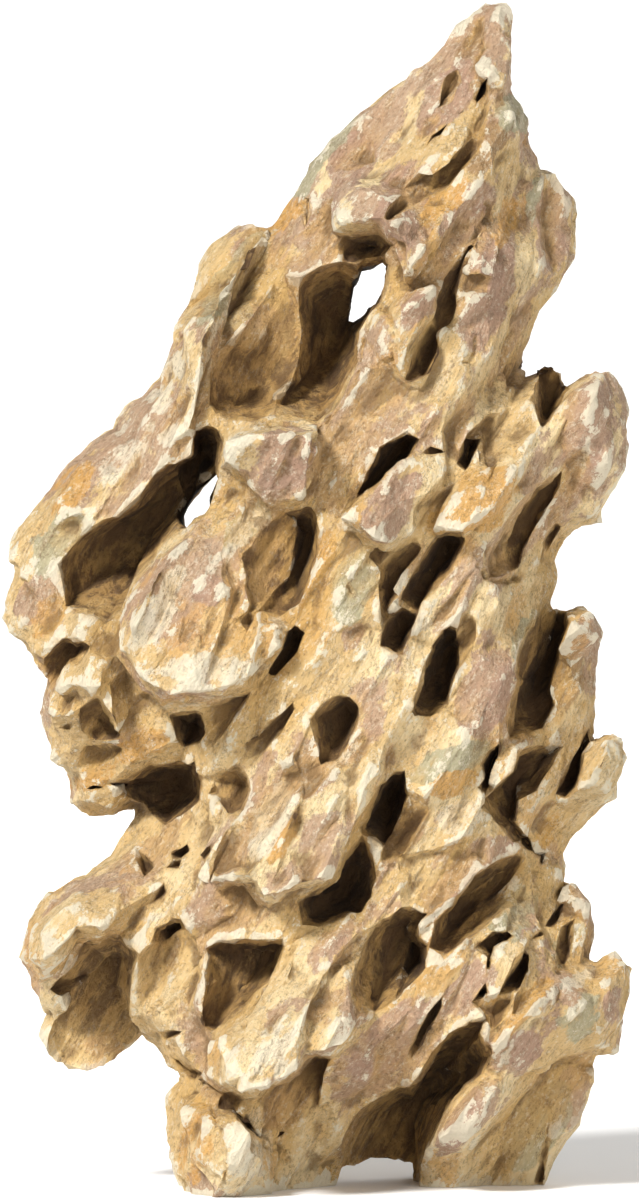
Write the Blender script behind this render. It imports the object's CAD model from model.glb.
"""Dragon stone: the finish of one pale, scooped and pierced rock, and the stage that it stands on.

The stone is worked as the solid is: a blank with slabs standing out of it, hollows cut away, and then
plates, cracks, grit and colour. Tables are in millimetres on a stone 299 mm tall, seen from the front:
x to the right, z up from the surface that it stands on. Nearly every form runs along the grain.
"""

import math

import bmesh
import bpy
import numpy as np
from mathutils import Euler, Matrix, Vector, noise
from mathutils.bvhtree import BVHTree


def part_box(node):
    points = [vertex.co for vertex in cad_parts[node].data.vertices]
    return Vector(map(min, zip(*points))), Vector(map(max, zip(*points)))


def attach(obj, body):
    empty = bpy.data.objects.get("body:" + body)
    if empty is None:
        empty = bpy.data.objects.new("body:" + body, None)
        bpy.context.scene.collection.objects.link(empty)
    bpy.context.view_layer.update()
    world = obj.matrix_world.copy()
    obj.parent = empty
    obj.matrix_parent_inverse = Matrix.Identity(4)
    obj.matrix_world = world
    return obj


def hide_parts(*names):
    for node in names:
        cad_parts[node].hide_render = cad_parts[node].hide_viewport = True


bl_info = {
    "name": "Dragon stone",
    "version": (1, 0, 0),
    "blender": (4, 5, 0),
    "location": "3D View > Sidebar > Dragon stone",
    "description": "Makes a pierced ornamental rock and the stage that it stands on",
    "category": "Add Mesh",
}

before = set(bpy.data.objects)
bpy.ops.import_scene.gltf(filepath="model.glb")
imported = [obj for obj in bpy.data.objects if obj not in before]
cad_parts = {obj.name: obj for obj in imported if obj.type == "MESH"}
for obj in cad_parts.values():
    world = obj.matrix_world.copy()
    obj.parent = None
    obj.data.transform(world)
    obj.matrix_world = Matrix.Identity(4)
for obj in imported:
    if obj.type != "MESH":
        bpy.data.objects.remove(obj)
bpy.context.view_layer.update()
SOLID_LOW, SOLID_HIGH = (np.array(corner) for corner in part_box("dragon_stone"))

# The blank, in the tables' millimetres
MM = 0.001
BLANK_HALF = 20.0
EDGE_ROUND = 20.0
RIM_THICKNESS = 0.10
RIM_FADE = 0.5
RIM_EDGE = 3.0
DEPTH_BLEND = 7.0
RIM_BLEND = 12.0
BLEND_POWER = 1.8
LEAN = 0.06
FRONT_PLANE = -38.0
GRAIN = math.radians(60)
OVERSHOOT = 1.2
SLAB_BOLDNESS = 2.0
SHOULDER_STEEPNESS = 1.35
SHOULDER_POWER = 0.8
FAR = 0.3

# Chipped faces
CHIP_LENGTH = 27.0
CHIP_WIDTH = 11.0
CHIP_RELIEF = 4.8
CHIP_FALL_ALONG = 0.10
CHIP_FALL_ACROSS = 0.5
CHIP_WANDER = 5.0
WANDER_SCALE = 0.03
CHIP_TABLE = 64
CHIP_TILT = 0.6
BACK_RELIEF = 1.6
SIDE_RELIEF = 0.8
SIDE_MEAN = 0.8
FRONT_PATTERN, BACK_PATTERN, SIDE_PATTERN = 0.0, 7.0, 19.0

# Hollows
CUTTER_REACH = 14.0
DRAWN_AT = (0.0, 0.2, 0.4, 0.55, 0.7, 0.8, 0.9, 0.96, 0.99)
WALL_POWER = 1.6
MOUTH_STEP = 2.5
MOUTH_WANDER = 0.35
TEARDROP = ((0.0, 0.08), (0.2, 0.28), (0.45, 0.44), (0.7, 0.5), (0.9, 0.36), (1.0, 0.12))
SEED = 11
# What the vector noise draws from; with none set, Blender draws from the clock and no two runs agree
NOISE_SEED = 1795472657

# How finely the stone is worked
BLANK_VOXEL = 1.2
CUTTER_VOXEL = 0.8
MOST_TRIANGLES = 196000

# Fine relief, in millimetres
FACETS = 10000
LONGEST_EDGE = 1.5
MOST_SPLITS = 9
BIG_CHIPS = (17.0, 8.0, 7.5)
BIG_CHIP_RELIEF = 1.1
SMALL_CHIPS = (6.5, 3.2, 3.0)
SMALL_CHIP_RELIEF = 0.55
SHELF_WIDTH = 21.0
SHELF_STEP = 4.5
SHELF_START = 70.0
PLATE_WIDTH = 9.0
PLATE_STEP = 1.0
PLATE_START = 3.0
PLATE_DROP = 0.1
PLATE_BEND = (0.020, 0.02, 0.05)
PLATE_SPREAD = (0.035, 0.03, 0.10)
PLATE_PRESENCE = (0.03, 0.05, 0.06)
RIB_RELIEF = 0.28
LINE_RELIEF = 0.18
LUMP_RELIEF = 0.05
GRIT_RELIEF = 0.12
CRACK_WIDTH = 0.75
CRACK_DEPTH = 1.3

# What the finish follows
SHELTER_RAYS = 40
SHELTER_REACH = 26.0
SHELTER_LIFT = 0.4
CREST_REACH = 2
LINE_REACH = 0.8
HOLLOWS_REACH = 30.0
CAVE_DEPTH = 12.0

# The finish's noises: how fine across the grain, per metre, how much less along it, detail,
# roughness, and how far it is shifted
NOISES = {
    "broad": (34.0, 0.5, 8.0, 0.62, 0.0),
    "stain": (48.0, 0.6, 9.0, 0.64, 1.0),
    "iron": (40.0, 0.5, 9.0, 0.62, 2.0),
    "edge": (120.0, 0.6, 8.0, 0.68, 3.0),
    "mottle": (330.0, 0.6, 7.0, 0.75, 0.0),
    "streak": (360.0, 0.08, 6.0, 0.68, 0.0),
    "speckle": (1100.0, 0.7, 4.0, 0.7, 0.0),
    "vein": (190.0, 0.5, 6.0, 0.7, 4.0),
    "wrinkle": (230.0, 0.35, 5.0, 0.7, 5.0),
}

# How each colour's patches lie: how strong, how ragged their rims, how far they keep out of hollows
PATCH_LOOKS = (
    ("brown", 0.85, 0.5, 0.3),
    ("mauve", 0.9, 0.5, 0.3),
    ("sage", 0.85, 0.5, 0.3),
    ("rust", 0.85, 0.7, 0.8),
    ("pale", 0.75, 1.6, 1.0),
)

# Faces that meet more sharply than this keep a crisp edge between them
CREASE = math.radians(18)

# The middle of the picture, and the stage, in metres
VIEW_CENTRE = (0.00046, 0.0, 0.1475)
FLOOR_SIDE = 60.0

# The outline seen from the front, clockwise from the peak; the feet run on below the floor
OUTLINE = (
    (43.4, 298.9), (47.6, 298.9), (48.4, 294.7), (48.2, 290.5), (48.5, 285.4), (49.4, 281.5),
    (50.1, 276.1), (51.8, 275.5), (53.3, 272.5), (54.5, 270.1), (54.4, 265.3), (55.4, 260.5),
    (56.6, 257.5), (60.2, 256.8), (61.7, 253.9), (63.7, 250.9), (63.5, 245.5), (63.2, 239.5),
    (63.2, 235.3), (60.5, 230.9), (58.3, 226.8), (55.3, 221.2), (54.3, 215.6), (52.9, 211.9),
    (50.8, 207.7), (49.4, 204.5), (51.8, 205.1), (53.2, 206.2), (55, 206.9), (58.8, 207.9),
    (61.2, 208.4), (61.2, 204.9), (61.8, 202.1), (64.1, 203.7), (67.1, 205.3), (70, 206.8),
    (72.8, 206.9), (74.4, 206), (75.5, 203), (76, 199.3), (76.2, 193.7), (76.5, 189), (76.5, 185),
    (75.8, 181.5), (73.5, 177), (71.8, 172.5), (70.8, 169), (67.8, 168.5), (65.3, 167.5), (61.8, 165.5),
    (59.3, 163), (58.2, 160.5), (58.8, 157.5), (60.1, 156.5), (59.3, 154), (58, 150.5), (57.3, 148.3),
    (57.8, 147.6), (60.8, 147.4), (63.8, 146.8), (67.3, 147.9), (70, 145), (71.3, 142), (70.8, 139),
    (69.3, 133), (70.4, 128.5), (69.8, 125), (69.8, 120), (68.8, 115.5), (69, 113.5), (70.3, 113.5),
    (72.8, 115.3), (75.3, 116), (76.8, 114), (77.5, 110.5), (76.8, 106.5), (75.5, 102.5), (75, 99.5),
    (72.3, 97.8), (69, 95.5), (66.8, 93), (64, 90.5), (62.8, 87), (62, 83.5), (62, 80.5), (61.3, 77.5),
    (60, 75), (60.8, 74.7), (63.4, 77.1), (65.1, 78.2), (67, 76.5), (68.8, 73.7), (68.9, 70.3),
    (68.8, 65.8), (67.9, 61.8), (67, 59), (69, 58.1), (71.3, 58.3), (73.5, 59.6), (75.8, 61.3),
    (78.6, 57.9), (79, 55.1), (78.3, 49.4), (77.5, 43.7), (75.5, 39.7), (74.1, 35.3), (70, 35.3),
    (68.7, 33.5), (67.9, 31.5), (68.9, 30.1), (68.7, 26.1), (67, 21.6), (65.1, 16.8), (61.9, 13.7),
    (58.8, 8), (57.1, 4.3), (54.9, -6), (50, -6), (40, -6), (30, -6), (25, -6), (23.6, 5.7), (21.9, 7.4),
    (15.1, 7.4), (8.3, 7), (3.2, 6), (1.2, -6), (-0.8, -6), (-4.7, -6), (-8.4, -6), (-10.3, -6),
    (-12.6, -6), (-24.8, -6), (-29.5, -6), (-33.6, -6), (-35.9, 5.9), (-37.4, 9.4), (-36.8, 14),
    (-36.5, 18.7), (-36.8, 23.4), (-35.9, 26.3), (-33.6, 28.6), (-35, 30.4), (-37.6, 32.5), (-39.4, 35),
    (-41.1, 37.1), (-44, 39.8), (-46.4, 40.4), (-49.3, 39.1), (-52.2, 36.2), (-54.6, 33), (-60.4, 31.1),
    (-64.5, 31.5), (-68, 34.2), (-70.6, 36.8), (-70.9, 40.3), (-69.8, 43.2), (-67.2, 45.1),
    (-68.9, 45.8), (-72.7, 47), (-73.6, 52), (-74.5, 54.6), (-76.1, 57.8), (-76.2, 62), (-75, 66.6),
    (-73.2, 70.1), (-70.6, 73.6), (-67.7, 76.5), (-64, 78.4), (-62.8, 80.3), (-60, 80), (-57.8, 82),
    (-55.8, 83.5), (-53.8, 85), (-50.8, 88.5), (-48.3, 92), (-45.5, 96.5), (-45.3, 98.5), (-49.3, 97.5),
    (-52.3, 96), (-56.3, 95.5), (-59.3, 96), (-62.3, 98.3), (-63.5, 100), (-63, 102), (-64.3, 104.5),
    (-65.3, 106.5), (-67.8, 109.5), (-67, 112), (-68.8, 115), (-71, 119.5), (-72.3, 121.5),
    (-71.7, 124.5), (-71.7, 127.5), (-71, 131), (-71.3, 133.3), (-74.8, 135.3), (-75.3, 138),
    (-78.3, 140.3), (-79.7, 143), (-78.8, 148.5), (-78.3, 152), (-77.3, 155.5), (-78, 159), (-77.5, 163),
    (-75.5, 166), (-72.8, 171), (-70, 175), (-67, 179.5), (-65.3, 181.5), (-63.5, 184), (-60, 187),
    (-55.3, 190), (-50.8, 192.3), (-48.8, 196), (-47.5, 198.3), (-44, 200.8), (-42, 203), (-40.3, 205.5),
    (-39, 209.5), (-37.5, 217), (-36.8, 220), (-34.8, 222), (-33.3, 225), (-30.3, 230), (-29.5, 233.5),
    (-25, 239.3), (-20.5, 243.5), (-19, 244.5), (-15.8, 243), (-12.7, 243.2), (-10.6, 244.9),
    (-8.2, 248.5), (-5.2, 254.5), (-2.8, 259.3), (-0.4, 262.9), (2.6, 266.5), (5, 268), (9.8, 271.6),
    (15.2, 275.8), (20, 279.4), (22.7, 282.4), (27.5, 284.8), (29, 286.9), (32, 290.2), (34.7, 293.9),
    (37.4, 294.7), (39.8, 296.2), (41.6, 298.3),
)

# How far the blank's front stands before its middle: x, z, reach
FRONT = (
    (43, 292, 5), (42, 278, 12), (25, 274, 12), (8, 262, 11), (2, 245, 15), (20, 252, 24),
    (36, 255, 25), (50, 262, 15), (59, 245, 8), (24, 232, 31), (40, 228, 29), (53, 222, 15),
    (-26, 230, 10), (-24, 215, 27), (-40, 196, 27), (-56, 176, 22), (-72, 158, 13),
    (-10, 186, 35), (2, 180, 37), (20, 200, 34), (36, 206, 33), (50, 196, 28), (68, 190, 14),
    (-42, 152, 31), (-25, 150, 37), (-26, 130, 38), (-50, 132, 26), (-66, 122, 16),
    (-58, 104, 16), (-47, 112, 22), (10, 165, 38), (30, 175, 37), (46, 170, 33), (62, 174, 16),
    (5, 150, 38), (40, 150, 35), (52, 158, 25), (0, 130, 42), (20, 125, 41), (40, 125, 37),
    (45, 110, 34), (30, 105, 37), (57, 120, 14), (64, 135, 10), (66, 106, 10), (-15, 95, 41),
    (-5, 105, 43), (6, 115, 43), (-25, 80, 36), (15, 80, 38), (35, 85, 38), (50, 78, 29),
    (60, 88, 13), (-36, 92, 18), (-55, 75, 20), (-70, 64, 12), (-66, 48, 9), (-50, 52, 15),
    (-20, 60, 35), (-40, 60, 27), (-5, 66, 41), (18, 58, 39), (0, 46, 38), (-20, 38, 34),
    (-35, 36, 24), (35, 60, 39), (46, 58, 38), (48, 42, 38), (62, 46, 34), (64, 30, 22),
    (72, 52, 20), (66, 70, 14), (-25, 14, 36), (-5, 12, 16), (15, 14, 14), (35, 22, 30),
    (42, 8, 8), (58, 16, 14),
)

# How far its back stands behind its middle
BACK = (
    (43, 290, 6), (30, 268, 14), (8, 255, 13), (45, 250, 20), (15, 235, 26), (-25, 225, 16),
    (-5, 205, 33), (35, 215, 30), (62, 190, 18), (-50, 180, 24), (-70, 155, 16), (-25, 160, 38),
    (10, 170, 41), (45, 160, 32), (-55, 125, 26), (-20, 120, 42), (20, 125, 45), (55, 125, 24),
    (-30, 85, 36), (5, 85, 46), (40, 85, 42), (62, 100, 16), (-65, 60, 18), (-30, 50, 34),
    (5, 40, 44), (40, 45, 44), (68, 50, 22), (-22, 12, 36), (5, 10, 30), (45, 12, 38),
)

# Where the rim between front and back runs: x, z, y
RIM = (
    (43, 295, 2), (0, 262, 4), (-25, 238, 12), (-45, 200, 4), (-75, 155, -6), (-68, 120, -9),
    (-60, 100, 4), (-50, 95, 8), (-72, 62, -4), (-60, 33, 6), (-36, 20, -8), (60, 245, 8),
    (54, 215, 4), (74, 195, 2), (60, 160, 8), (70, 140, 9), (75, 108, 6), (62, 80, 10),
    (67, 68, 4), (77, 52, -6), (70, 30, 4), (0, 130, 0), (0, 200, 0), (20, 60, 0), (10, 0, 4),
)

# Slabs that stand out of the front: corners, where the slab meets the rock, where it stands highest,
# its height there, how far in from its edge it reaches that height
SLABS = (
    (((-51, 144), (-44, 157), (-36, 166), (-30, 172), (-18, 173), (-8, 170), (-9, 158),
      (-13, 148), (-14, 138), (-17, 127),
      (-25, 124.5), (-40, 122.5), (-47, 128), (-52, 136)), (-6, 156), (-38, 138), 10, 3.5),
    (((-17, 145), (-12, 145), (-9, 142), (-10, 137), (-13, 133), (-19, 130)),
     (-20, 138), (-11, 139), 5.1, 1),
    (((-18, 192), (-16, 192.5), (-1, 192.3), (0, 186), (-3, 174), (-9, 171), (-15, 170),
      (-20, 178), (-26, 183), (-24, 190)), (-10, 160), (-10, 186), 8.5, 3),
    (((5, 169), (7, 168), (13, 163), (16, 162), (18, 162), (24, 166), (27, 174), (33, 177),
      (32, 186), (25, 186), (20, 183), (14, 177), (8, 173)), (30, 188), (14, 165), 6.8, 1.2),
    (((-28, 80), (-25, 79), (-17, 77.5), (-15, 74), (-12, 73), (-8, 76), (-4, 77), (3, 79),
      (6, 86), (11, 95), (14, 104), (18, 106), (12, 116), (9, 113), (0, 105), (-6, 99),
      (-12, 91), (-19, 82)), (6, 118), (-9, 77), 8.5, 1.5),
    (((-77, 58), (-76, 67), (-64, 79), (-54, 86), (-49, 90), (-46, 86), (-40, 79), (-46, 72),
      (-50, 67), (-57, 63.5), (-62, 64), (-67, 56), (-72, 52)), (-40, 90), (-62, 67), 10.2, 6),
    (((-30, 30), (-24, 26.5), (-17, 25), (-15, 27), (-8, 30), (-4, 35), (3, 35.5), (7, 38.5),
      (11, 45), (9, 50), (9, 60), (15, 70), (5, 68), (-5, 66), (-8, 62), (-12, 54),
      (-18, 46), (-26, 40)), (4, 68), (-6, 34), 10.2, 1.5),
    (((-38, -6), (-38, 22), (-33, 23.5), (-27, 22), (-24, 22), (-19, 18), (-13, 10),
      (-10, -6)), (-30, 60), (-24, 8), 6.8, 3),
    (((44, 30), (47, 36), (52, 42), (58, 48), (63, 56), (58, 54), (52, 48), (47, 43),
      (43, 36)), (40, 24), (56, 50), 4.2, 3),
    (((29.3, 12), (30, 15.5), (34, 20.5), (37.5, 27), (41, 30), (46, 29.5), (48.5, 28),
      (44.5, 20.5), (41, 17), (36, 11), (33, 10)), (48, 34), (33, 14), 8.5, 2),
    (((62, 61), (66, 59), (70, 62), (70, 74), (65, 79), (60, 75), (63, 73), (66, 70)),
     (60, 60), (66, 72), 6.8, 3),
    (((58, 99), (62, 97), (66, 96), (76, 99), (78.5, 110), (76, 117), (70, 115), (67, 107),
      (63, 103)), (60, 96), (73, 108), 15.3, 4),
    (((61, 118), (70, 117), (71, 128), (72, 142), (67, 148), (62, 147), (60, 138),
      (59.5, 126)), (58, 130), (66, 140), 13.6, 4),
    (((60, 208), (58, 196), (60, 186), (62, 181), (66, 172), (72, 170), (78, 184), (77, 203),
      (73, 208)), (58, 190), (71, 198), 8.5, 5),
    (((-12, 244), (-15, 240), (-22, 228), (-28, 215), (-29.5, 205), (-31, 196), (-33, 190),
      (-42, 183), (-52, 178), (-62, 172), (-68, 182), (-55, 193), (-44, 204), (-40, 220),
      (-30, 236), (-22, 246)), (-46, 200), (-28, 212), 8.5, 1.5),
    (((33, 177), (28, 166), (37, 165), (40, 168), (44, 170), (48, 176), (53, 181), (55, 186),
      (46, 184), (36, 182)), (36, 186), (40, 168), 5.1, 1.5),
    (((3, 242), (6, 240.5), (15, 241), (19, 238), (24, 243), (21, 251), (15, 255), (6, 255),
      (2, 250)), (12, 262), (13, 243), 8.5, 4),
    (((21, 228), (24, 228), (26, 233), (31, 240), (36, 250), (30, 250), (24, 246),
      (19, 240), (20, 233)), (30, 254), (23, 232), 6.8, 3),
    (((11, 214), (15, 208), (18, 205), (21.5, 204), (25, 213), (28, 218), (31, 229),
      (27, 228), (22, 226), (18, 222), (14, 220)), (14, 204), (24, 222), 6.8, 4),
    (((40, 262), (44, 256), (52, 258), (53, 266), (50, 272), (49, 285), (48, 300), (43, 300),
      (43.5, 288), (40, 282), (43, 279), (43, 274)), (52, 250), (44, 282), 5.1, 2),
    (((-19, 82), (-12, 91), (-6, 99), (0, 105), (5, 109), (0, 108), (-8, 101), (-15, 92),
      (-21, 83)), (10, 112), (-14, 89), 3.4, 1.5),
    (((-30, 79), (-26, 86), (-21, 94), (-18, 102), (-20, 96), (-25, 95), (-30, 86)),
     (-18, 106), (-26, 86), 4.2, 1.5),
    (((-70, 118.5), (-63, 118.5), (-60, 124), (-68, 125), (-72, 122)), (-66, 126),
     (-66, 119), 4, 1),
    (((-61, 114), (-51.5, 113), (-50, 120), (-52, 128), (-44, 135), (-52, 137), (-58, 138),
      (-61, 135), (-68, 127), (-60, 124.5)), (-48, 138), (-58, 126), 5.1, 3),
)

# Hollows in the front: the mouth's corners, the deepest point, the depth there. Each is x, z.
HOLLOWS = (
    # Peak
    (((38.6, 272.6), (40.2, 273), (42.6, 276.5), (43.2, 279.5), (42.4, 280.4), (40.6, 278.6),
      (39, 275.5)), (42.2, 279), 11.5),
    (((29.5, 271.8), (31.5, 273), (34.5, 276.5), (36.5, 279), (35.5, 282.3), (32.8, 281.5),
      (31, 277.5)), (34.5, 280), 4),
    (((26.5, 263), (28.5, 262.5), (31.5, 266), (33.5, 269), (31.5, 268.5), (28.5, 265.8)),
     (32, 268), 3.5),
    (((16, 243.5), (20, 244.5), (24, 247.5), (32.5, 252.5), (37, 257.5), (41.5, 263.5),
      (42, 266.5), (39, 265), (34, 259.5), (29, 255.5), (25, 256), (21, 252), (17.5, 247)),
     (37, 261), 6.5),
    (((28, 250.5), (31, 251.5), (34.5, 255), (36, 258), (33, 257.5), (30, 254.5)), (34, 257), 6.5),
    (((0.5, 259), (5, 267), (14, 266), (14, 259), (8, 256.5), (2, 256.5)), (9, 261), 2),
    (((-4.5, 242), (-3, 243.5), (-1.8, 247), (-2, 250.5), (-4, 250.5), (-5, 247)), (-3, 248), 3.5),
    (((41.5, 246), (44, 253.5), (47, 253.5), (49.5, 250), (49, 244), (45, 240), (42.5, 241.5)),
     (43.5, 246), 2.5),
    (((57.5, 256.5), (61, 258), (66, 252), (66, 242), (64, 236), (60, 230.5), (57, 235),
      (55.5, 240), (55.2, 246), (56, 251)), (57.5, 245), 5),
    (((5.5, 240.2), (15, 240.9), (19, 237.5), (17, 235.2), (12, 234), (8, 234), (5, 235)),
     (14, 238.5), 18),
    (((21.5, 203.8), (24.5, 203.5), (27.5, 206), (29.5, 210.5), (30, 216), (28, 218), (25, 213),
      (22.5, 207)), (28, 213), 9),
    (((28.5, 213), (32, 218), (34.5, 223), (35.5, 230), (39.5, 238), (38, 239), (34, 233),
      (31, 229), (29, 222)), (33, 227), 8),
    (((35, 231), (44, 230.5), (47, 229), (46, 226), (40, 225.5), (35, 226)), (42, 229.5), 3),
    (((44, 208), (44.5, 212), (48, 217), (51.5, 221), (55, 222), (56, 215), (51, 207), (47, 206)),
     (46, 210), 2.5),
    (((54.7, 199), (55, 203), (56.5, 207.3), (61.2, 210), (61.8, 202.5), (64, 203.7),
      (62, 199.5), (58.5, 193.5), (56.6, 192.5), (55.2, 196)), (58.5, 199), 19.5),
    (((34.5, 183), (36, 187.5), (36.5, 190), (40.5, 191), (40.2, 187.5), (38.5, 184),
      (37, 181)), (38.5, 188), 15.5),
    (((36.5, 190), (40, 193.5), (43.5, 195.5), (42.5, 192), (40.5, 189)), (42, 193), 5),
    (((40.5, 183), (41, 191), (44, 195.5), (50.5, 199), (54.5, 201), (54.6, 197), (56, 192.5),
      (52, 188), (46, 184.5), (42, 181)), (43.5, 190), 5.5),
    (((25.5, 186), (28, 184.8), (31.8, 185.5), (32, 187), (28, 187.5)), (31, 186.4), 3.5),
    # Upper cave and the wall on its left
    (((-6, 228), (-4.5, 230.3), (-1, 232.8), (6.5, 233.8), (10, 233.2), (17, 235), (18, 233),
      (17.3, 227), (15.5, 223), (13.5, 221), (10.3, 216), (10.2, 212), (9, 206.5), (6.5, 201.5),
      (4, 197.5), (-1, 192.4), (-3.5, 193.8), (-9, 194.2), (-12.8, 195.4), (-10, 200),
      (-9.5, 206), (-8, 212), (-6.5, 218)), (6, 217), 42),
    (((-9, 231), (-4.5, 230), (-3, 222), (-4, 212), (-8, 203), (-12, 197), (-18, 193),
      (-25, 194.5), (-29, 198), (-28.5, 206), (-24, 213), (-17, 221), (-12, 229)),
     (-6, 211), 19.5),
    (((-25, 196), (-24, 200), (-20, 204.5), (-16, 205), (-12, 206), (-9.5, 203), (-9, 197),
      (-16, 193.5), (-21, 194)), (-17, 201), 21),
    (((-19, 246), (-12.5, 243.5), (-17, 238), (-21, 232), (-25.5, 225.5), (-28, 220),
      (-33, 220), (-42, 222), (-38, 232), (-30, 242)), (-21, 231), 9),
    # Left
    (((-60, 166), (-52.5, 170), (-47, 175), (-44.5, 177.5), (-43, 180.5), (-39, 183.5),
      (-34, 184), (-31, 180), (-33, 174), (-37, 167), (-42, 160), (-50, 149.5),
      (-52, 145.5), (-56, 144), (-65, 147), (-66, 155), (-67.3, 158), (-64.5, 162)),
     (-39, 174), 29),
    (((-67.2, 158.3), (-63.5, 162.5), (-61, 160), (-60, 154), (-60.5, 149), (-64.8, 146.8),
      (-66, 153)), (-62.5, 152), 11.5),
    (((-33, 185.5), (-32, 192), (-29, 193), (-27, 191.8), (-25, 189), (-25, 183.5),
      (-26, 181.5), (-30, 179), (-33, 174.5), (-35.5, 170), (-35.3, 167), (-37, 165),
      (-39, 165.5), (-40, 170), (-39.5, 176), (-38, 183)), (-30, 187), 34),
    (((-75, 160.5), (-70, 158), (-67.5, 158.5), (-64.5, 162), (-60, 166.5), (-60, 171),
      (-64, 170.5), (-70, 166.5)), (-65, 163), 3),
    (((-79, 148), (-78, 154), (-73, 154), (-70, 155.5), (-67, 152.5), (-65, 149), (-66, 143.5),
      (-69, 140), (-73, 140.5), (-78, 144)), (-69, 147), 3.5),
    (((-22, 144.5), (-20, 141), (-18.5, 140.3), (-17, 143), (-16.5, 145.2), (-20, 147)),
     (-18, 144.5), 3.5),
    (((-14, 129.5), (-12, 133), (-9.5, 137), (-9, 141), (-6.5, 142.5), (-4.5, 142),
      (-4.3, 139.5), (-6, 136), (-9.5, 132.5), (-12.5, 130)), (-6, 140), 14.5),
    # Middle
    (((7.5, 172.5), (14.5, 176.5), (17, 180), (21, 182.5), (23, 186), (25, 190), (24, 191.3),
      (20.5, 191.3), (18, 189), (14, 186), (11.5, 181), (9.5, 177)), (21.5, 188), 19.5),
    (((11.5, 161), (13, 163.5), (16.5, 161.8), (18, 162), (15, 159), (14, 157)), (15, 160.5), 5),
    (((18, 162), (24, 165.5), (25.5, 162), (22, 157), (19, 152), (17, 146), (15.5, 141),
      (14.5, 146), (14.5, 152), (15, 157)), (19.5, 156), 9),
    (((29.5, 165), (32, 166.5), (35, 166.5), (37, 165), (36, 162.5), (33, 156), (27.5, 151),
      (24.8, 146), (22, 146.8), (20, 148.5), (21, 152), (24, 156), (27, 161)), (33, 163), 19.5),
    (((16, 142), (18, 146), (20.5, 147.5), (22.5, 146), (25, 146), (24, 143.5), (22.5, 139),
      (21, 135.3), (18.5, 135.2), (15, 137.5)), (21.5, 142), 17),
    (((31.5, 143), (33, 143.3), (34.5, 142), (34.8, 132), (33.5, 127), (31.5, 122), (28, 120),
      (24.5, 120), (22.8, 121.5), (24, 126), (26, 132), (28.5, 138.5)), (32.5, 136), 22),
    (((-9, 171), (-3, 172), (-1, 169.5), (-0.2, 166), (-0.8, 160), (-3, 154), (-5.5, 149),
      (-8, 145), (-14.5, 145.3), (-13.5, 148), (-10, 152), (-8, 160), (-6.2, 169)),
     (-2.5, 165), 19.5),
    (((-19, 146), (-14.5, 145), (-9, 145), (-7, 152), (-5, 162), (-6, 171), (-10, 171),
      (-15, 166), (-20, 158), (-19, 151)), (-6, 160), 10.5),
    (((-3, 119.5), (1, 123.5), (4, 125), (6.5, 125.3), (8.5, 124), (9.7, 122), (9, 118),
      (7, 113), (4, 109), (0, 108), (-1.5, 116)), (7.5, 121), 14.5),
    (((-22.5, 110.5), (-16, 114.5), (-13.5, 118.5), (-10, 121), (-7, 124), (-6, 122.5),
      (-8, 120), (-12, 114), (-16, 110), (-18.5, 106), (-20.5, 107)), (-9, 120), 5.5),
    (((34.8, 142), (36, 147), (38, 146), (40, 143), (39, 138), (36, 132), (35, 131)),
     (36, 140), 3.5),
    (((35, 129.5), (43, 133), (48, 138.5), (50, 140), (49.5, 133), (48.5, 128), (47, 122),
      (44, 119), (36, 117.5), (32, 121), (33, 126)), (44, 127), 2.5),
    (((-26, 84), (-20, 93), (-17.5, 100), (-17, 106), (-13, 110), (-6, 108), (-4, 104),
      (-9, 97), (-14, 90), (-19, 84)), (-13, 98), 3),
    # Left middle and lower
    (((-66, 140), (-62.5, 139.8), (-59, 138.2), (-60.5, 136.5), (-66, 130.5), (-69.5, 125.5),
      (-71.5, 125), (-71.6, 128), (-71.2, 133.5), (-68, 138.5)), (-63.5, 137.5), 17),
    (((-58, 126), (-55, 122.5), (-53, 119.8), (-51.3, 115), (-54, 114), (-60.5, 115),
      (-61.3, 119), (-62, 122), (-59.5, 123.5)), (-54.5, 118.5), 17),
    (((-38.5, 120), (-35.5, 121.3), (-32.5, 122), (-30.8, 121.3), (-30, 119), (-29.8, 114.5),
      (-31.5, 113.5), (-35, 112.2), (-36.8, 114), (-37.6, 117)), (-32, 118.5), 17),
    (((-30, 122), (-25, 124.5), (-21, 125), (-17, 127), (-18.5, 124), (-21, 120.5),
      (-24.5, 116), (-28, 112), (-29.5, 113)), (-22, 123), 8),
    (((-63, 102), (-55, 103), (-52, 104.3), (-46, 107.5), (-44, 109.2), (-40, 108.5),
      (-36.5, 109), (-33.5, 108.5), (-31.5, 110), (-32, 107), (-30, 102), (-30.5, 99.5),
      (-33, 97), (-36, 95.5), (-40, 93), (-43, 95), (-45, 98.5), (-50.5, 100.5), (-53, 103)),
     (-36, 105), 24.5),
    (((-63.5, 106.5), (-62, 112), (-60, 114), (-55, 113.5), (-50.5, 112.5), (-53, 110),
      (-58, 107.5)), (-58, 111), 5.5),
    (((-69, 118.5), (-66, 118.6), (-63.3, 118.4), (-65, 116.8), (-68, 117)), (-65, 117.8), 3.5),
    (((-27.5, 104), (-22.5, 108), (-20.5, 106.8), (-18.5, 105), (-18, 102), (-19, 98),
      (-21.5, 95), (-24, 96), (-26, 98.5)), (-20, 103), 11.5),
    (((-28.8, 99.5), (-28.3, 102), (-26.3, 103), (-26.2, 100.5)), (-27, 101.5), 5),
    (((-38.7, 84.8), (-38.5, 86.3), (-36, 86.8), (-34, 88.6), (-33.3, 86.5), (-35, 84.8)),
     (-35, 86.5), 6.5),
    (((-39.5, 82.3), (-37.5, 84), (-35.2, 83.5), (-36, 81.6)), (-36.5, 83), 5),
    (((-48.5, 88), (-45.5, 86), (-43, 83), (-43, 80.5), (-45, 80.2), (-47.5, 84)),
     (-44.5, 82.5), 8),
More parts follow.
